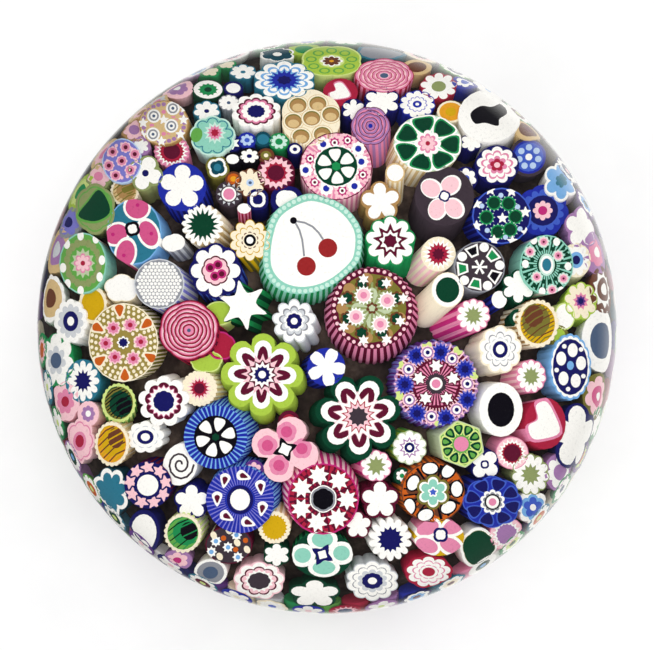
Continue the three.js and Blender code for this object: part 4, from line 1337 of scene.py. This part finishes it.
def lathe(name, profile, material):
    """A closed solid turned about Z from (radius, height) points that run from axis to axis."""
    angle = np.arange(LATHE_STEPS) * 2 * math.pi / LATHE_STEPS
    rings = profile[1:-1]
    points = [(0, 0, profile[0][1])]
    for radius, height in rings:
        points += [(radius * math.cos(a), radius * math.sin(a), height) for a in angle]
    points.append((0, 0, profile[-1][1]))
    faces, last = [], len(points) - 1
    for k in range(LATHE_STEPS):
        after = (k + 1) % LATHE_STEPS
        faces.append([0, 1 + after, 1 + k])
        for ring in range(len(rings) - 1):
            low, high = 1 + ring * LATHE_STEPS, 1 + (ring + 1) * LATHE_STEPS
            faces.append([low + k, low + after, high + after, high + k])
        top = 1 + (len(rings) - 1) * LATHE_STEPS
        faces.append([top + k, top + after, last])
    piece = new_piece(name, points, faces, [0] * len(faces), [material])
    piece.data.polygons.foreach_set("use_smooth", [True] * len(faces))
    return piece


def clear_glass():
    """Clear glass that lets the light of lamps, floor and sky straight through to what is inside."""
    material = new_material("clear_glass")
    glass = node(material, "ShaderNodeBsdfPrincipled", Base_Color=(1, 1, 1, 1), Roughness=0.0,
                 IOR=GLASS_INDEX, Transmission_Weight=1.0)
    through = node(material, "ShaderNodeBsdfTransparent", Color=(0.97, 0.97, 0.96, 1))
    path = node(material, "ShaderNodeLightPath")
    either = node(material, "ShaderNodeMath")
    either.operation = "MAXIMUM"
    material.node_tree.links.new(path.outputs["Is Shadow Ray"], either.inputs[0])
    material.node_tree.links.new(path.outputs["Is Diffuse Ray"], either.inputs[1])
    mixed = node(material, "ShaderNodeMixShader", Fac=either.outputs["Value"])
    material.node_tree.links.new(glass.outputs["BSDF"], mixed.inputs[1])
    material.node_tree.links.new(through.outputs["BSDF"], mixed.inputs[2])
    node(material, "ShaderNodeOutputMaterial", Surface=mixed.outputs["Shader"])
    return material


def ground_glass():
    """Dark brown glass between the canes, mottled with darker and paler browns."""
    material = new_material("ground_glass")
    place = node(material, "ShaderNodeTexCoord").outputs["Object"]
    cloud = node(material, "ShaderNodeTexNoise", Vector=place, Scale=260.0, Detail=5.0, Roughness=0.6)
    shade = ramp(material, cloud.outputs["Fac"], (0.3, linear((28, 22, 24))), (0.5, linear((62, 52, 48))),
                 (0.7, linear((108, 92, 82))))
    shader = node(material, "ShaderNodeBsdfPrincipled", Base_Color=shade, Roughness=0.5,
                  Specular_IOR_Level=0.0)
    node(material, "ShaderNodeOutputMaterial", Surface=shader.outputs["BSDF"])
    return material


def dome_profile():
    """The outer shape up from the flat foot ring, closed by the shallow hollow underneath."""
    hollow = [(0, BASE_HOLLOW), (FOOT_RADIUS - 5 * FOOT_EDGE, BASE_HOLLOW), (FOOT_RADIUS - 3 * FOOT_EDGE, 0)]
    lower = [(WIDEST_RADIUS * math.cos(a), WIDEST_HEIGHT + UNDERSIDE * math.sin(a))
             for a in np.linspace(-math.asin((WIDEST_HEIGHT - FOOT_EDGE) / UNDERSIDE), 0, 24)]
    upper = [(WIDEST_RADIUS * math.cos(a), WIDEST_HEIGHT + (TOP_HEIGHT - WIDEST_HEIGHT) * math.sin(a))
             for a in np.linspace(0, math.pi / 2, 49)[1:]]
    return hollow + [(FOOT_RADIUS - FOOT_EDGE, 0)] + lower + upper


def ground_profile():
    """A mound a little inside the one that the cane faces lie on."""
    radius, half = MOUND_RADIUS - GROUND_DEPTH, MOUND_HALF - GROUND_DEPTH
    low = math.asin((GROUND_FOOT - MOUND_MIDDLE) / half)
    side = [(radius * math.cos(a), MOUND_MIDDLE + half * math.sin(a))
            for a in np.linspace(low, math.pi / 2, 40)]
    return [(0, GROUND_FOOT)] + side


dome = lathe("clear_glass_dome_lens", dome_profile(), clear_glass())
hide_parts("clear_glass_dome", "base_pad")
ground = lathe("ground_glass_mound", ground_profile(), ground_glass())
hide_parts("ground_cushion")


FLOOR_HALF = 3.0


def pale_floor():
    """Plain pale paper, which the dome doesn't mirror."""
    material = new_material("pale_floor")
    place = node(material, "ShaderNodeTexCoord").outputs["Object"]
    paper = node(material, "ShaderNodeTexNoise", Vector=place, Scale=90.0, Detail=3.0)
    shade = ramp(material, paper.outputs["Fac"], (0.3, (0.88, 0.88, 0.88)), (0.7, (0.91, 0.91, 0.91)))
    shader = node(material, "ShaderNodeBsdfPrincipled", Base_Color=shade, Roughness=0.9,
                  Specular_IOR_Level=0.0)
    node(material, "ShaderNodeOutputMaterial", Surface=shader.outputs["BSDF"])
    mesh = bpy.data.meshes.new("pale_floor")
    corners = [(x * FLOOR_HALF, y * FLOOR_HALF, 0) for x, y in ((-1, -1), (1, -1), (1, 1), (-1, 1))]
    mesh.from_pydata(corners, [], [(0, 1, 2, 3)])
    mesh.materials.append(material)
    floor = bpy.data.objects.new("pale_floor", mesh)
    bpy.context.scene.collection.objects.link(floor)
    floor.visible_glossy = False


def soft_lamp(name, place, size, power):
    """A large area lamp that points at the dome and isn't mirrored in it."""
    data = bpy.data.lights.new(name, "AREA")
    data.shape = "DISK"
    data.size = size
    data.energy = power
    lamp = bpy.data.objects.new(name, data)
    bpy.context.scene.collection.objects.link(lamp)
    lamp.location = place
    lamp.rotation_euler = (Vector(TARGET * MM) - Vector(place)).to_track_quat("-Z", "Y").to_euler()
    lamp.visible_glossy = False


# The way that mirrored rays go where the rim shines most: down, and a little to the right and back.
BRIGHT_SIDE = (0.25, 0.33, -0.91)


def dim_world():
    """A pale world. Mirror reflections see it dim, so that the top of the dome stays clear, and bright
    only around BRIGHT_SIDE, where the rim mirrors the pale ground.
    """
    world = bpy.data.worlds.new("pale_world")
    bpy.context.scene.world = world
    world.use_nodes = True
    world.node_tree.nodes.clear()
    path = node(world, "ShaderNodeLightPath")
    way = node(world, "ShaderNodeTexCoord").outputs["Generated"]
    lean = node(world, "ShaderNodeVectorMath")
    lean.operation = "DOT_PRODUCT"
    world.node_tree.links.new(way, lean.inputs[0])
    lean.inputs[1].default_value = BRIGHT_SIDE
    height = node(world, "ShaderNodeMapRange", Value=lean.outputs["Value"], From_Min=-1.0, From_Max=1.0)
    mirrored = ramp(world, height.outputs["Result"], (0.5, (0.05, 0.05, 0.05)), (0.9, (0.08, 0.08, 0.08)),
                    (0.93, (0.35, 0.35, 0.34)), (0.975, (1.0, 0.99, 0.97)))
    gloss = node(world, "ShaderNodeMath")
    gloss.operation = "MULTIPLY"
    world.node_tree.links.new(path.outputs["Is Reflection Ray"], gloss.inputs[0])
    world.node_tree.links.new(path.outputs["Is Singular Ray"], gloss.inputs[1])
    plain = node(world, "ShaderNodeMixRGB", Fac=path.outputs["Is Transmission Ray"],
                 Color1=(0.85, 0.85, 0.85, 1), Color2=(0.96, 0.96, 0.96, 1))
    colour = node(world, "ShaderNodeMixRGB", Fac=gloss.outputs["Value"], Color1=plain.outputs["Color"],
                  Color2=mirrored)
    light = node(world, "ShaderNodeBackground", Color=colour.outputs["Color"], Strength=1.0)
    node(world, "ShaderNodeOutputWorld", Surface=light.outputs["Background"])


pale_floor()
dim_world()
soft_lamp("overhead_lamp", (0.15, -0.15, 1.1), 0.9, 4)
soft_lamp("front_lamp", (-0.6, -0.9, 0.7), 0.6, 1.8)
soft_lamp("right_lamp", (0.7, 0.8, 0.7), 0.6, 1.4)

scene = bpy.context.scene
scene.view_settings.view_transform = "Standard"
scene.cycles.caustics_refractive = False
scene.cycles.caustics_reflective = False
scene.cycles.use_light_tree = False
scene.cycles.max_bounces = 16
scene.cycles.transmission_bounces = 12

SENSOR_WIDTH = 36
LENS = 294.0
camera = bpy.data.objects.new("camera", bpy.data.cameras.new("camera"))
scene.collection.objects.link(camera)
camera.location = (TARGET + EYE_DISTANCE * BACK) * MM
camera.rotation_euler = (TILT, 0, 0)
camera.data.sensor_width = SENSOR_WIDTH
camera.data.lens = LENS
scene.camera = camera
